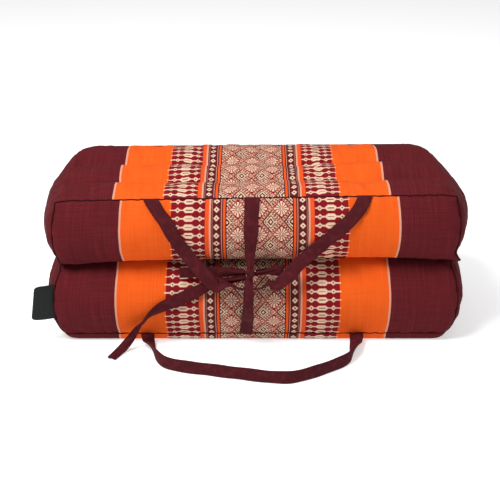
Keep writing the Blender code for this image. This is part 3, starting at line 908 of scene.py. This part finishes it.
def woven_cover():
    """The cover's material: stripes, lattice and beads with woven threads and slubs."""
    look = Look("woven_cover", roughness=0.82)
    place = look.cloth_place()
    across, along = look.parts(place)
    raw_u = across * 1000.0
    raw_v = along * 1000.0
    slub_long = look.noise(place, SLUBS_LONG, 3.0)
    slub_wide = look.noise(place, SLUBS_WIDE, 3.0)
    wander_u = raw_u + (look.noise(place, DRIFT_U, 1.0) - 0.5) * DRIFT[0]
    wander_v = raw_v + (look.noise(place, DRIFT_V, 1.0, (4.0, 7.0)) - 0.5) * DRIFT[1]
    u = ((wander_u / THREAD_U).floor() + 0.5) * THREAD_U
    v = ((wander_v / THREAD_V).floor() + 0.5) * THREAD_V
    a = abs(u)
    row = repeat(v, ROW_PITCH)
    threads = (slub_long * 0.6 + slub_wide * 0.4 - 0.5) * 1.5 + 0.5
    maroon = look.mix(COLOURS["maroon_dark"], COLOURS["maroon"], threads * 1.5)
    colours = {
        "orange": look.mix(COLOURS["orange"], COLOURS["orange_light"], threads),
        "maroon": look.mix(maroon, COLOURS["maroon_light"], (threads - 0.62) * 1.6),
        "crimson": look.mix(COLOURS["crimson_dark"], COLOURS["crimson"], threads * 1.3),
        "cream": look.mix(COLOURS["cream_pink"], COLOURS["cream"], threads * 1.4),
    }
    colour, raised = lattice_cloth(look, u, v, colours)
    raised = raised * (a < STRIPES[0][0])
    colour = look.mix(colour, colours["maroon"], a > STRIPES[0][0])
    for low, high, name in STRIPES:
        colour = look.mix(colour, colours.get(name, COLOURS[name]), a.between(low, high))
    beads, holes = bead_cloth(a, row)
    colour = look.mix(colour, colours["cream"], beads)
    colour = look.mix(colour, COLOURS["olive"], holes)
    raised = (raised + beads - holes).smaller(1.0)
    warp = (raw_u * (math.pi / THREAD_U)).sine()
    weft = (raw_v * (math.pi / THREAD_V)).sine()
    height = warp * weft * 0.25 + raised * 0.6 + slub_wide * 0.8 + slub_long * 0.6
    return look.finish(colour, height, distance=0.00022, strength=0.8, roughness=0.86 - raised * 0.12)


cover_material = woven_cover()
for piece in covers.values():
    piece.data.materials.append(cover_material)
print("cover nodes:", len(cover_material.node_tree.nodes))

# %% [markdown]
# Straps and ribbons are flat bands of folded cotton. A band is a thin rounded profile carried
# along a route. Each row of a route gives the place of the band, which way its face looks,
# a roll that twists it, and its width. The rows on the front border give only x, height and
# lift, and the border's own formula gives the rest, so a band lies on the cushion as it
# would, and spans the crease in a straight line.

# %% Routes
STRAP_WIDTH = 0.0125
STRAP_THICKNESS = 0.0020
RIBBON_THICKNESS = 0.0016
RIBBON_WIDTH = 0.0122
LIE = 0.0004
LEVEL_CUT = 0.014
SLOPE_STEP = 0.0004
SETTLING_ROUNDS = 3
BRIDGE_LOW = 0.063
BRIDGE_HIGH = 0.097


def face_at(x, z):
    """How far the front border stands out from the middle, as y without its sign."""
    settled = z
    for _ in range(SETTLING_ROUNDS):
        z = settled - settling(x, -SEAM_HALF_DEPTH, z)
    faces = {}
    for name, size in CUSHIONS.items():
        u = np.clip(x / size["half_width"], -1.0, 1.0)
        w = np.clip((z - middle_height(size)) / half_height(size), -1.0, 1.0)
        bulge = side_bulge(u) * border_bulge(size, w, "front")
        faces[name] = SEAM_HALF_DEPTH + bulge - crease_pull(size, w)
    return np.where(z < CREASE_HEIGHT, faces["cushion_lower"], faces["cushion_upper"])


def face_distance(x, z):
    """The border's distance, with a straight line from one half to the other at the crease."""
    t = np.clip((z - BRIDGE_LOW) / (BRIDGE_HIGH - BRIDGE_LOW), 0.0, 1.0)
    straight = face_at(x, BRIDGE_LOW) * (1.0 - t) + face_at(x, BRIDGE_HIGH) * t
    return np.where((t > 0.0) & (t < 1.0), straight, face_at(x, z))


def on_face(x, z, lift, roll, width, thickness):
    """A route row on the border: its place, its outward direction, roll and width."""
    step = SLOPE_STEP
    slope = (face_distance(x, z + step) - face_distance(x, z - step)) / (2.0 * step)
    normal = unit(np.array([0.0, -1.0, -slope]))
    centre = np.array([x, -face_distance(x, z), z]) + normal * (lift + LIE + thickness / 2.0)
    return np.concatenate([centre, normal, [roll, width]])


def in_space(x, y, z, roll, width, lean=90.0):
    """A route row given by its place. Lean turns the face from the front (0) up to the top (90)."""
    turned = math.radians(lean)
    return np.array([x, y, z, 0.0, -math.cos(turned), math.sin(turned), roll, width])


def smooth_rows(rows, steps):
    """Catmull-Rom curve through all columns: each span a cubic of its four nearest rows."""
    rows = np.array(rows)
    padded = np.vstack([2 * rows[0] - rows[1], rows, 2 * rows[-1] - rows[-2]])
    a, b, c, d = (padded[k:len(padded) - 3 + k, None, :] for k in range(4))
    t = (np.arange(steps) / steps)[None, :, None]
    spans = 2 * b + (c - a) * t + (2 * a - 5 * b + 4 * c - d) * t ** 2 + (3 * b - a - 3 * c + d) * t ** 3
    return np.vstack([spans.reshape(-1, rows.shape[1]) / 2.0, rows[-1:]])


# %% Tubes along a path


def tube_quads(rings, sides, closed):
    """Quads between neighbouring rings of points, and from the last to the first if it is closed."""
    i, j = np.meshgrid(np.arange(rings if closed else rings - 1), np.arange(sides), indexing="ij")
    after, beside = (i + 1) % rings, (j + 1) % sides
    corners = [i * sides + j, i * sides + beside, after * sides + beside, after * sides + j]
    return np.stack(corners, axis=-1).reshape(-1, 4)


def closed_tangent(path):
    """The direction of a closed path at each point, from the one before to the one after."""
    return unit(np.roll(path, -1, axis=0) - np.roll(path, 1, axis=0))


def closed_tube(path, first, second, sides):
    """An oval ring at each point of a closed path: cosine times one arrow, sine times the other."""
    angle = 2.0 * np.pi * np.arange(sides) / sides
    ring = np.cos(angle)[:, None] * first[:, None, :] + np.sin(angle)[:, None] * second[:, None, :]
    return (path[:, None, :] + ring).reshape(-1, 3), tube_quads(len(path), sides, True), angle


# %% A band carried along a route
BAND_SIDES = 28
BAND_SQUARENESS = 0.55
BAND_FULLNESS = 0.8
STEPS_PER_ROW = 8
PLEAT_DEPTH = 0.9
PLEATS = 1.5
EDGE_WAVE = 0.0002
EDGE_WAVES = 210.0


def band_ways(route):
    """Along a route, across its band and out of its face, with the roll turned in."""
    tangent = unit(np.gradient(route[:, 0:3], axis=0))
    across = unit(np.cross(tangent, route[:, 3:6]))
    normal = np.cross(across, tangent)
    roll = np.radians(route[:, 6])[:, None]
    width_way = np.cos(roll) * across + np.sin(roll) * normal
    return tangent, width_way, np.cross(width_way, tangent)


def level_end(centre, tangent, width_way, face_way, w, t, points, away):
    """Where a slanting band enters a level seam, its rings turn until they lie level too.

    A point w across the band moves by w (a - b s) in x and not in z. Here a and b are the x
    and z of the way across, and s is the band's slant, x over z. Its y follows the border.
    """
    near = np.flatnonzero(away < LEVEL_CUT)
    share = (1.0 - away[near] / LEVEL_CUT)[:, None, None]
    slant = width_way[near, 0] - width_way[near, 2] * tangent[near, 0] / tangent[near, 2]
    x, y, z = (centre[near, k][:, None] for k in range(3))
    moved_x = x + w[near, :, 0] * slant[:, None]
    z = z + 0.0 * moved_x
    moved_y = y - face_distance(moved_x, z) + face_distance(x + 0.0 * moved_x, z)
    level = np.stack([moved_x, moved_y, z], axis=-1) + t[near] * face_way[near, None, :]
    points[near] = points[near] * (1.0 - share) + level * share


def make_band(name, rows, thickness, full_width, level_ends=()):
    """A band: a flattened ring of points at each step of the route, with closed ends.

    The ring is a superellipse, cos and sin to a small power, as wide as the band. Where the
    band is narrower than its cloth, the spare width goes into lengthwise pleats.
    """
    route = smooth_rows(rows, STEPS_PER_ROW)
    centre = route[:, 0:3]
    tangent, width_way, face_way = band_ways(route)
    length = arc_length(centre)
    rings = len(centre)
    angle = 2.0 * np.pi * np.arange(BAND_SIDES) / BAND_SIDES
    wide = np.sign(np.cos(angle)) * np.abs(np.cos(angle)) ** BAND_FULLNESS
    thick = np.sign(np.sin(angle)) * np.abs(np.sin(angle)) ** BAND_SQUARENESS
    width = route[:, 7][:, None]
    spare = np.clip(1.0 - width / full_width, 0.0, 1.0)
    pleat = np.cos(np.pi * PLEATS * wide) * spare * thickness * PLEAT_DEPTH
    edge_wave = EDGE_WAVE * np.sin(length[:, None] * EDGE_WAVES + 2.0 * np.sign(wide))
    w = (wide * width / 2.0 + edge_wave * np.abs(wide))[:, :, None]
    t = (thick * thickness / 2.0 + pleat)[:, :, None]
    points = centre[:, None, :] + w * width_way[:, None, :] + t * face_way[:, None, :]
    for end in level_ends:
        away = length if end == "first" else length[-1] - length
        level_end(centre, tangent, width_way, face_way, w, t, points, away)
    faces = [tube_quads(rings, BAND_SIDES, False)]
    for ring in (0, (rings - 1) * BAND_SIDES):
        # The ring's points face each other in pairs, so quads across it close the end
        k = np.arange(BAND_SIDES // 2 - 1)
        cap = np.stack([k, k + 1, BAND_SIDES - 2 - k, BAND_SIDES - 1 - k], axis=-1) + ring
        faces.append(cap if ring else cap[:, ::-1])
    faces = np.concatenate(faces)
    flat_u = np.arcsin(np.clip(wide, -1.0, 1.0)) / np.pi * full_width
    flat = np.stack(np.broadcast_arrays(flat_u, length[:, None]), axis=-1).reshape(-1, 2)
    piece = add_piece(name + "_band", points.reshape(-1, 3), faces, flat[faces].reshape(-1, 2))
    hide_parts(name)
    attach(piece, "root")
    print(name, "length", round(float(length[-1]) * 100, 1), "cm")
    return piece, (full_width, float(length[-1]))


# %% [markdown]
# The upper strap comes out of the top front seam, lies on the bulging border and hangs over
# the crease. It starts flat on the cloth and turns on its edge at the lowest point. The
# lower strap comes out of the bottom seam and lies in a bow on the ground, on its edge.

# %% Carrying straps
# columns: x, height, lift off the face, roll in degrees
UPPER_STRAP = (
    (-0.0956, 0.1424, 0.0000, 0),
    (-0.0941, 0.1404, 0.0002, 0),
    (-0.0914, 0.1368, 0.0004, 0),
    (-0.0876, 0.1318, 0.0005, 2),
    (-0.0818, 0.1250, 0.0006, 5),
    (-0.0752, 0.1130, 0.0012, 10),
    (-0.0660, 0.0995, 0.0022, 16),
    (-0.0560, 0.0870, 0.0072, 20),
    (-0.0458, 0.0763, 0.0116, 28),
    (-0.0365, 0.0672, 0.0132, 42),
    (-0.0265, 0.0605, 0.0118, 64),
    (-0.0150, 0.0578, 0.0090, 84),
    (-0.0055, 0.0574, 0.0082, 90),
    (0.0040, 0.0580, 0.0084, 86),
    (0.0120, 0.0612, 0.0098, 68),
    (0.0200, 0.0680, 0.0116, 46),
    (0.0293, 0.0763, 0.0100, 32),
    (0.0430, 0.0895, 0.0052, 22),
    (0.0572, 0.1025, 0.0020, 14),
    (0.0706, 0.1143, 0.0010, 8),
    (0.0844, 0.1260, 0.0006, 4),
    (0.0925, 0.1350, 0.0004, 0),
    (0.0965, 0.1410, 0.0003, 0),
    (0.0983, 0.1446, 0.0001, 0),
    (0.0990, 0.1456, 0.0000, 0),
)
STAND = STRAP_WIDTH / 2.0 + 0.0003
# columns: x, y, height of the middle, roll in degrees
LOWER_STRAP = (
    (-0.1027, -0.0780, 0.0090, 0),
    (-0.1025, -0.0835, 0.0074, 0),
    (-0.1018, -0.0885, 0.0060, 6),
    (-0.1003, -0.0955, 0.0050, 20),
    (-0.0980, -0.1045, 0.0058, 48),
    (-0.0950, -0.1135, STAND, 76),
    (-0.0905, -0.1265, STAND, 90),
    (-0.0833, -0.1380, STAND, 90),
    (-0.0721, -0.1450, STAND, 90),
    (-0.0580, -0.1495, STAND, 90),
    (-0.0439, -0.1530, STAND, 90),
    (-0.0290, -0.1571, STAND, 90),
    (-0.0142, -0.1609, STAND, 90),
    (0.0000, -0.1646, STAND, 90),
    (0.0150, -0.1678, STAND, 90),
    (0.0292, -0.1684, STAND, 90),
    (0.0410, -0.1643, STAND, 90),
    (0.0517, -0.1580, STAND, 90),
    (0.0620, -0.1508, STAND, 90),
    (0.0713, -0.1438, STAND, 90),
    (0.0800, -0.1360, STAND, 90),
    (0.0862, -0.1275, STAND, 88),
    (0.0895, -0.1180, STAND, 72),
    (0.0918, -0.1075, 0.0058, 46),
    (0.0935, -0.0978, 0.0050, 20),
    (0.0946, -0.0894, 0.0060, 6),
    (0.0950, -0.0835, 0.0074, 0),
    (0.0952, -0.0780, 0.0090, 0),
)
bands = {}
rows = [on_face(x, z, lift, roll, STRAP_WIDTH, STRAP_THICKNESS) for x, z, lift, roll in UPPER_STRAP]
bands["handle_upper"] = make_band(
    "handle_upper", rows, STRAP_THICKNESS, STRAP_WIDTH, level_ends=("first", "last"))
rows = [in_space(x, y, z, roll, STRAP_WIDTH) for x, y, z, roll in LOWER_STRAP]
bands["handle_lower"] = make_band("handle_lower", rows, STRAP_THICKNESS, STRAP_WIDTH)

# %% [markdown]
# The tie is one ribbon from each half, knotted in front of the crease. The lower one passes
# over the hanging strap. One free end lies level in the crease, the other runs down across
# the lower half to the ground, and a flat bow loop is tucked away at the right.

# %% Ribbons
# columns: x, height, lift off the face, roll in degrees, width
RIBBONS = {
    "tie_upper": (
        (-0.0036, 0.1442, 0.0000, 0, 0.0138),
        (-0.0036, 0.1425, 0.0001, 0, 0.0138),
        (-0.0038, 0.1380, 0.0002, 0, 0.0136),
        (-0.0041, 0.1300, 0.0002, 0, 0.0134),
        (-0.0045, 0.1200, 0.0002, 0, 0.0130),
        (-0.0048, 0.1090, 0.0004, 0, 0.0122),
        (-0.0052, 0.0990, 0.0014, 0, 0.0102),
        (-0.0055, 0.0910, 0.0042, 0, 0.0086),
        (-0.0055, 0.0845, 0.0078, 0, 0.0060),
        (-0.0055, 0.0800, 0.0102, 0, 0.0036),
    ),
    "tie_lower": (
        (-0.0095, 0.0088, 0.0000, 0, 0.0122),
        (-0.0093, 0.0105, 0.0001, 0, 0.0122),
        (-0.0088, 0.0165, 0.0002, 0, 0.0120),
        (-0.0082, 0.0260, 0.0008, 0, 0.0116),
        (-0.0078, 0.0350, 0.0046, 0, 0.0110),
        (-0.0073, 0.0450, 0.0112, 0, 0.0100),
        (-0.0067, 0.0545, 0.0166, 0, 0.0088),
        (-0.0062, 0.0625, 0.0164, 0, 0.0078),
        (-0.0058, 0.0708, 0.0118, 0, 0.0060),
    ),
    "tie_end_short": (
        (-0.0100, 0.0770, 0.0052, 0, 0.0056),
        (-0.0190, 0.0760, 0.0026, 0, 0.0088),
        (-0.0300, 0.0753, 0.0010, 0, 0.0106),
        (-0.0430, 0.0752, 0.0004, 0, 0.0106),
        (-0.0570, 0.0746, 0.0003, 0, 0.0108),
        (-0.0709, 0.0740, 0.0004, 0, 0.0104),
    ),
    "tie_end_long": (
        (-0.0090, 0.0738, 0.0090, 6, 0.0044),
        (-0.0200, 0.0706, 0.0070, 6, 0.0066),
        (-0.0285, 0.0676, 0.0050, 4, 0.0082),
        (-0.0396, 0.0625, 0.0024, 2, 0.0090),
        (-0.0536, 0.0562, 0.0008, 0, 0.0112),
        (-0.0703, 0.0493, 0.0004, 0, 0.0118),
        (-0.0867, 0.0424, 0.0010, 8, 0.0108),
        (-0.0975, 0.0362, 0.0028, 34, 0.0092),
        (-0.1045, 0.0290, 0.0044, 56, 0.0078),
    ),
    "tie_loop": (
        (-0.0010, 0.0770, 0.0082, 90, 0.0036),
        (0.0080, 0.0776, 0.0062, 90, 0.0050),
        (0.0160, 0.0786, 0.0052, 90, 0.0078),
        (0.0215, 0.0790, 0.0046, 90, 0.0094),
        (0.0248, 0.0780, 0.0027, 90, 0.0102),
        (0.0215, 0.0766, 0.0008, 90, 0.0098),
        (0.0150, 0.0759, 0.0004, 90, 0.0086),
        (0.0080, 0.0760, 0.0010, 90, 0.0060),
        (0.0000, 0.0766, 0.0040, 90, 0.0042),
    ),
}
# columns: x, y, height of the middle, roll in degrees, width, lean of the face in degrees
FALLING_END = (
    (-0.1110, -0.0990, 0.0205, 62, 0.0080, 30),
    (-0.1172, -0.1010, 0.0115, 44, 0.0086, 50),
    (-0.1232, -0.1045, 0.0048, 20, 0.0090, 72),
    (-0.1286, -0.1112, 0.0018, 6, 0.0092, 90),
    (-0.1330, -0.1212, 0.0016, 4, 0.0092, 90),
)
for name, table in RIBBONS.items():
    rows = [on_face(x, z, lift, roll, width, RIBBON_THICKNESS) for x, z, lift, roll, width in table]
    if name == "tie_end_long":
        rows += [in_space(*row) for row in FALLING_END]
    if name == "tie_loop":
        # The loop turns back in depth, so its rows are held by the way up, not by the way out
        for row in rows:
            out_y, out_z = row[4:6].copy()
            row[3:6] = (0.0, out_z, -out_y)
    bands[name] = make_band(name, rows, RIBBON_THICKNESS, RIBBON_WIDTH)

# %% [markdown]
# The knot is the heart of the tie. A few crossing bands could be laid by hand, but an
# overhand knot is a trefoil, and the trefoil has a formula: across it runs sin t + 2 sin 2t,
# up it cos t - 2 cos 2t and in depth -sin 3t. A flat oval carried along it, drawn tight,
# reads as a knotted ribbon from every side.

# %% Knot
KNOT_CENTRE = np.array([-0.0055, -0.1010, 0.0775])
KNOT_HALF = np.array([0.0028, 0.0034, 0.0042])
KNOT_CORD = (0.0027, 0.0017)
KNOT_RINGS = 96
KNOT_SIDES = 12
KNOT_DEPTH = 0.85
# Metres of cloth to a radian, round the ribbon and along it
KNOT_CLOTH = np.array([0.002, 0.01])


def make_knot():
    """A closed trefoil with an oval section, squeezed into the space of the knot."""
    t = 2.0 * np.pi * np.arange(KNOT_RINGS) / KNOT_RINGS
    path = KNOT_HALF * np.stack([
        (np.sin(t) + 2.0 * np.sin(2.0 * t)) / 3.0,
        -np.sin(3.0 * t) * KNOT_DEPTH,
        (np.cos(t) - 2.0 * np.cos(2.0 * t)) / 3.0,
    ], axis=-1)
    tangent = closed_tangent(path)
    across = unit(np.cross(tangent, unit(path)))
    thick_way = KNOT_CORD[1] * np.cross(across, tangent)
    points, faces, angle = closed_tube(path + KNOT_CENTRE, KNOT_CORD[0] * across, thick_way, KNOT_SIDES)
    flat = np.stack([np.tile(angle, KNOT_RINGS), np.repeat(t, KNOT_SIDES)], axis=-1) * KNOT_CLOTH
    piece = add_piece("tie_knot_cord", points, faces, flat[faces].reshape(-1, 2))
    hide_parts("tie_knot")
    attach(piece, "root")
    return piece


knot = make_knot()

# %% [markdown]
# Straps and ribbons are plain plum cotton, but never one flat colour: the folded tape shows
# lengthwise threads, a cross rib and small faded patches. A line of stitches runs along
# each edge of the straps, in a groove whose colour is darkened as painted shade.

# %% Band materials


def band_material(name, width, stitched):
    """Plum cotton along a band's own coordinates: across and along it, in metres."""
    look = Look(name, roughness=0.85)
    place = look.cloth_place()
    across, along = look.parts(place)
    threads = look.noise(place, (2600.0, 90.0))
    patches = look.noise(place, (240.0, 150.0), 3.0, (3.0, 1.0))
    colour = look.mix(COLOURS["plum_dark"], COLOURS["plum"], threads * 1.3 + (patches - 0.5) * 0.9)
    colour = look.mix(colour, COLOURS["plum_light"], (patches - 0.5) * 1.8)
    rib = (along * (2.0 * math.pi / 0.0011)).sine()
    cords = (across * (2.0 * math.pi / 0.0009)).sine()
    height = rib * 0.25 + cords * 0.25 + threads * 0.9
    if stitched:
        from_edge = abs(abs(across) - (width / 2.0 - 0.0016))
        stitch = (from_edge < 0.00035) * ((along / 0.0030).fraction() < 0.68)
        groove = from_edge < 0.0007
        # Painted shade: the groove beside each stitch line is darkened in colour, as well as sunk in the
        # bump
        colour = look.mix(colour, COLOURS["plum_dark"], groove * 0.6)
        colour = look.mix(colour, COLOURS["plum_light"], stitch * 0.8)
        height = height + stitch * 1.2 - groove * 1.0
    return look.finish(colour, height, distance=0.00018, strength=0.8)


strap_material = band_material("strap_cotton", STRAP_WIDTH, True)
ribbon_material = band_material("ribbon_cotton", RIBBON_WIDTH, False)
for name, (piece, flat) in bands.items():
    piece.data.materials.append(strap_material if name.startswith("handle") else ribbon_material)
knot.data.materials.append(ribbon_material)
HOLDS = {
    "handle_upper": ("hung", ["cushion_upper_cover"]),
    "handle_lower": ("laid", ["cushion_lower_cover"]),
    "tie_upper": ("stretched", ["cushion_upper_cover"]),
    "tie_lower": ("stretched", ["cushion_lower_cover"]),
    "tie_end_short": ("laid", ["cushion_lower_cover"]),
    "tie_end_long": ("draped", ["cushion_lower_cover"]),
    "tie_loop": ("folded", ["cushion_lower_cover"]),
}
for name, (held, rests_on) in HOLDS.items():
    piece, flat = bands[name]

# %% [markdown]
# The seams. Where two panels meet, the maker leaves a narrow ridge of turned cloth. A dark
# line in the cover's colours would look flat from the side, so a thin rounded cord runs
# through the border's own points. It is thickest up the corners, and thinnest in the crease,
# where the halves press on it. Its near-black colour is partly the turned cloth's own darker
# tone and partly painted shade of the fold along the seam.

# %% Seam cords
SEAM_RADIUS = 0.0006
CORNER_SEAM_RADIUS = 0.0010
CREASE_SEAM_RADIUS = 0.0003
CREASE_SEAM_BAND = 0.006
SEAM_SIDES = 8
SEAM_SMOOTHING = 3


def make_seams(name):
    """The two seam loops of one cushion as one piece of thin cord."""
    size = CUSHIONS[name]
    middle = np.array([size["shift"], 0.0, middle_height(size)])
    all_points, all_faces, all_flat = [], [], []
    for loop in seam_loops[name]:
        path = smooth_rows(np.vstack([loop, loop[:1]]), SEAM_SMOOTHING)[:-1]
        tangent = closed_tangent(path)
        out = path - middle
        out = unit(out - tangent * np.sum(out * tangent, axis=1)[:, None])
        upright = np.abs(tangent[:, 2:])
        radius = SEAM_RADIUS + (CORNER_SEAM_RADIUS - SEAM_RADIUS) * upright
        in_crease = (1.0 - upright) * (np.abs(path[:, 2:] - CREASE_HEIGHT) < CREASE_SEAM_BAND)
        radius = radius + (CREASE_SEAM_RADIUS - radius) * in_crease
        side = np.cross(tangent, out)
        points, faces, angle = closed_tube(path, radius * out, radius * side, SEAM_SIDES)
        round_it = np.tile(angle * SEAM_RADIUS, len(path))
        flat = np.stack([round_it, np.repeat(arc_length(path), SEAM_SIDES)], axis=-1)
        all_faces.append(faces + sum(len(earlier) for earlier in all_points))
        all_points.append(points)
        all_flat.append(flat[faces].reshape(-1, 2))
    joined = (np.concatenate(arrays) for arrays in (all_points, all_faces, all_flat))
    piece = add_piece(name + "_seams", *joined)
    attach(piece, "root")
    return piece


def seam_material():
    """Dark turned cloth, made darker still by painted shade of the seam's fold, with the twist of its
    threads along it.
    """
    look = Look("seam_cotton_and_fold_shade", roughness=0.9)
    tone = look.noise(look.cloth_place(), (900.0, 260.0))
    # Painted shade: the cord is darkened to stand in for the shadow in the fold of the seam
    colour = look.mix(COLOURS["seam_cloth_and_fold_shade"], COLOURS["maroon_dark"], tone * 1.2 - 0.3)
    return look.finish(colour, tone, distance=0.0003)


seam_look = seam_material()
for name in CUSHIONS:
    make_seams(name).data.materials.append(seam_look)

# %% [markdown]
# The label is a strip of black woven tape caught in the corner seam, left bare. A thin box
# would look like a card, so it is a thin sheet with rounded free corners that curls a
# little. The hinge cloth at the back is a plain strip in the groove of the fold, bowed out.

# %% Label and hinge cloth
LABEL_WIDTH = 0.019
LABEL_HEIGHT = 0.034
LABEL_THICKNESS = 0.0012
LABEL_RADIUS = 0.0035
LABEL_MIDDLE = 0.0425
LABEL_TURN = math.radians(12)
LABEL_SLANT = 0.0046
LABEL_GRID = (35, 21)
LABEL_CURL = 0.0010
LABEL_THIN_EDGE = 0.7
HINGE_HALF_LENGTH = 0.165
HINGE_HEIGHT = 0.016
HINGE_THICKNESS = 0.0016
HINGE_ROUND = 0.0015
HINGE_GATHER = 0.0004
HINGE_CLEARANCE = 0.0003
HINGE_GRID = (220, 15)


def shell(front, back, name):
    """A closed thin sheet from the point grids of its front and back, with a rim round them."""
    rows, columns = front.shape[:2]
    points = np.concatenate([front.reshape(-1, 3), back.reshape(-1, 3)])
    half = rows * columns
    quads = grid_quads(rows, columns)
    index = np.arange(half).reshape(rows, columns)
    rim = np.concatenate([index[0, :], index[1:, -1], index[-1, -2::-1], index[-2:0:-1, 0]])
    after = np.roll(rim, -1)
    sides = np.stack([rim, rim + half, after + half, after], axis=-1)
    faces = np.concatenate([quads, quads[:, ::-1] + half, sides])
    i, j = np.divmod(np.arange(half), columns)
    step_u = np.linalg.norm(front[rows // 2, 1:] - front[rows // 2, :-1], axis=1).mean()
    step_v = np.linalg.norm(front[1:, columns // 2] - front[:-1, columns // 2], axis=1).mean()
    flat = np.tile(np.stack([j * step_u, i * step_v], axis=-1), (2, 1))
    return add_piece(name, points, faces, flat[faces].reshape(-1, 2))


def make_label():
    """The label: its sewn edge follows the corner seam, its face curls a little at the free edge.

    The free corners are quarter circles. A row that lies "past" inside the radius r of its
    corner is shorter by r - sqrt(r^2 - past^2).
    """
    size = CUSHIONS["cushion_lower"]
    up, out = np.meshgrid(*(np.linspace(0.0, 1.0, count) for count in LABEL_GRID), indexing="ij")
    past = np.maximum(LABEL_RADIUS - np.minimum(up, 1.0 - up) * LABEL_HEIGHT, 0.0)
    reach = out * (LABEL_WIDTH - LABEL_RADIUS + np.sqrt(LABEL_RADIUS ** 2 - past ** 2))
    z = LABEL_MIDDLE + (up - 0.5) * LABEL_HEIGHT
    corner = np.full_like(z, -1.0)
    seam = cushion_points(size, corner, corner, (z - middle_height(size)) / half_height(size))
    centre = seam[LABEL_GRID[0] // 2, 0]
    sewn = centre + (seam - centre) * (1.0 - out)[..., None]
    x = sewn[..., 0] - LIE - reach * math.cos(LABEL_TURN) + LABEL_SLANT * (up - 0.5) * out
    curl = LABEL_CURL * np.sin(out * np.pi * 0.9) * (0.6 + 0.4 * np.cos(up * 5.0))
    y = sewn[..., 1] - LABEL_THICKNESS / 2.0 - reach * math.sin(LABEL_TURN) - curl
    half = LABEL_THICKNESS / 2.0 * (1.0 - LABEL_THIN_EDGE * np.abs(2.0 * out - 1.0) ** 12)
    front = np.stack([x, y - half, z], axis=-1)
    back = np.stack([x, y + half, z], axis=-1)
    piece = shell(front, back, "label_tape")
    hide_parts("label")
    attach(piece, "root")
    return piece


def make_hinge():
    """The hinge cloth: a strip across the groove of the fold, bowed out and slightly gathered."""
    columns = np.linspace(-HINGE_HALF_LENGTH, HINGE_HALF_LENGTH, HINGE_GRID[0])
    x, t = np.meshgrid(columns, np.linspace(0.0, 1.0, HINGE_GRID[1]), indexing="ij")
    lower = face_at(x, CREASE_HEIGHT - HINGE_HEIGHT / 2.0)
    upper = face_at(x, CREASE_HEIGHT + HINGE_HEIGHT / 2.0)
    bow = HINGE_ROUND * 4.0 * t * (1.0 - t)
    gather = HINGE_GATHER * np.sin(x * 520.0 + 3.0 * np.sin(x * 90.0)) * np.sin(np.pi * t)
    y = lower * (1.0 - t) + upper * t + LIE + bow + gather
    z = CREASE_HEIGHT + (t - 0.5) * HINGE_HEIGHT
    near = np.stack([x, y + HINGE_CLEARANCE, z], axis=-1)
    far = np.stack([x, y + HINGE_THICKNESS, z], axis=-1)
    piece = shell(near, far, "hinge_strip")
    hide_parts("hinge_cloth")
    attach(piece, "root")
    return piece


def label_material():
    """Black satin tape: fine diagonal ribs and slightly lighter patches."""
    look = Look("label_tape", roughness=0.6)
    place = look.cloth_place()
    across, along = look.parts(place)
    rib = ((across + along * 0.5) * (2.0 * math.pi / 0.0006)).sine()
    tone = look.noise(place, (500.0, 500.0))
    colour = look.mix(COLOURS["label"], COLOURS["label_light"], tone * 0.6 + rib * 0.1)
    return look.finish(colour, rib, distance=0.0001, strength=0.6)


def plain_cloth():
    """The hinge cloth: the cover's maroon with its slubs, without the pattern."""
    look = Look("plain_maroon", roughness=0.85)
    slubs = look.noise(look.cloth_place(), (1300.0, 60.0))
    colour = look.mix(COLOURS["maroon_dark"], COLOURS["maroon"], slubs * 1.4)
    return look.finish(colour, slubs, distance=0.0002)


make_label().data.materials.append(label_material())
make_hinge().data.materials.append(plain_cloth())

# %% [markdown]
# The stage is a pale floor under soft studio light. The key panel stands high at the left
# front, a weak fill at the right, and a broad panel hangs overhead. The surround is a dim
# white, and the floor glows a little by itself, so that the shadow on it stays faint.

# %% Floor and lights
FLOOR_SIZE = 6.0
FLOOR_GLOW = 0.52
WORLD_LIGHT = 0.12


def add_floor():
    """A flat square under everything."""
    half = FLOOR_SIZE / 2.0
    points = np.array([(-half, -half, 0.0), (half, -half, 0.0), (half, half, 0.0), (-half, half, 0.0)])
    floor = add_piece("floor", points, np.array([[0, 1, 2, 3]]))
    look = Look("floor", roughness=0.9, sheen=0.0)
    look.shader.inputs["Emission Color"].default_value = WHITE
    look.shader.inputs["Emission Strength"].default_value = FLOOR_GLOW
    floor.data.materials.append(look.finish(FLOOR_COLOUR))


def add_panel_light(name, place, target, size, power):
    """A square area light at a place, facing its target."""
    data = bpy.data.lights.new(name, "AREA")
    data.shape = "SQUARE"
    data.size = size
    data.energy = power
    light = bpy.data.objects.new(name, data)
    direction = Vector(target) - Vector(place)
    turned = direction.to_track_quat("-Z", "Y").to_matrix().to_4x4()
    light.matrix_world = Matrix.Translation(place) @ turned
    bpy.context.scene.collection.objects.link(light)


add_floor()
# columns: name, place, target, size, power
LIGHTS = (
    ("key", (-0.92, -0.86, 1.90), (0.0, 0.0, 0.08), 0.8, 51.0),
    ("fill_right", (1.5, -0.9, 0.9), (0.0, 0.0, 0.08), 1.4, 6.5),
    ("top", (0.1, 0.3, 1.8), (0.0, 0.0, 0.05), 1.8, 14.0),
)
for row in LIGHTS:
    add_panel_light(*row)
world = bpy.data.worlds.new("studio")
world.use_nodes = True
background = world.node_tree.nodes["Background"]
background.inputs["Color"].default_value = WHITE
background.inputs["Strength"].default_value = WORLD_LIGHT
bpy.context.scene.world = world
bpy.context.scene.view_settings.view_transform = "Standard"
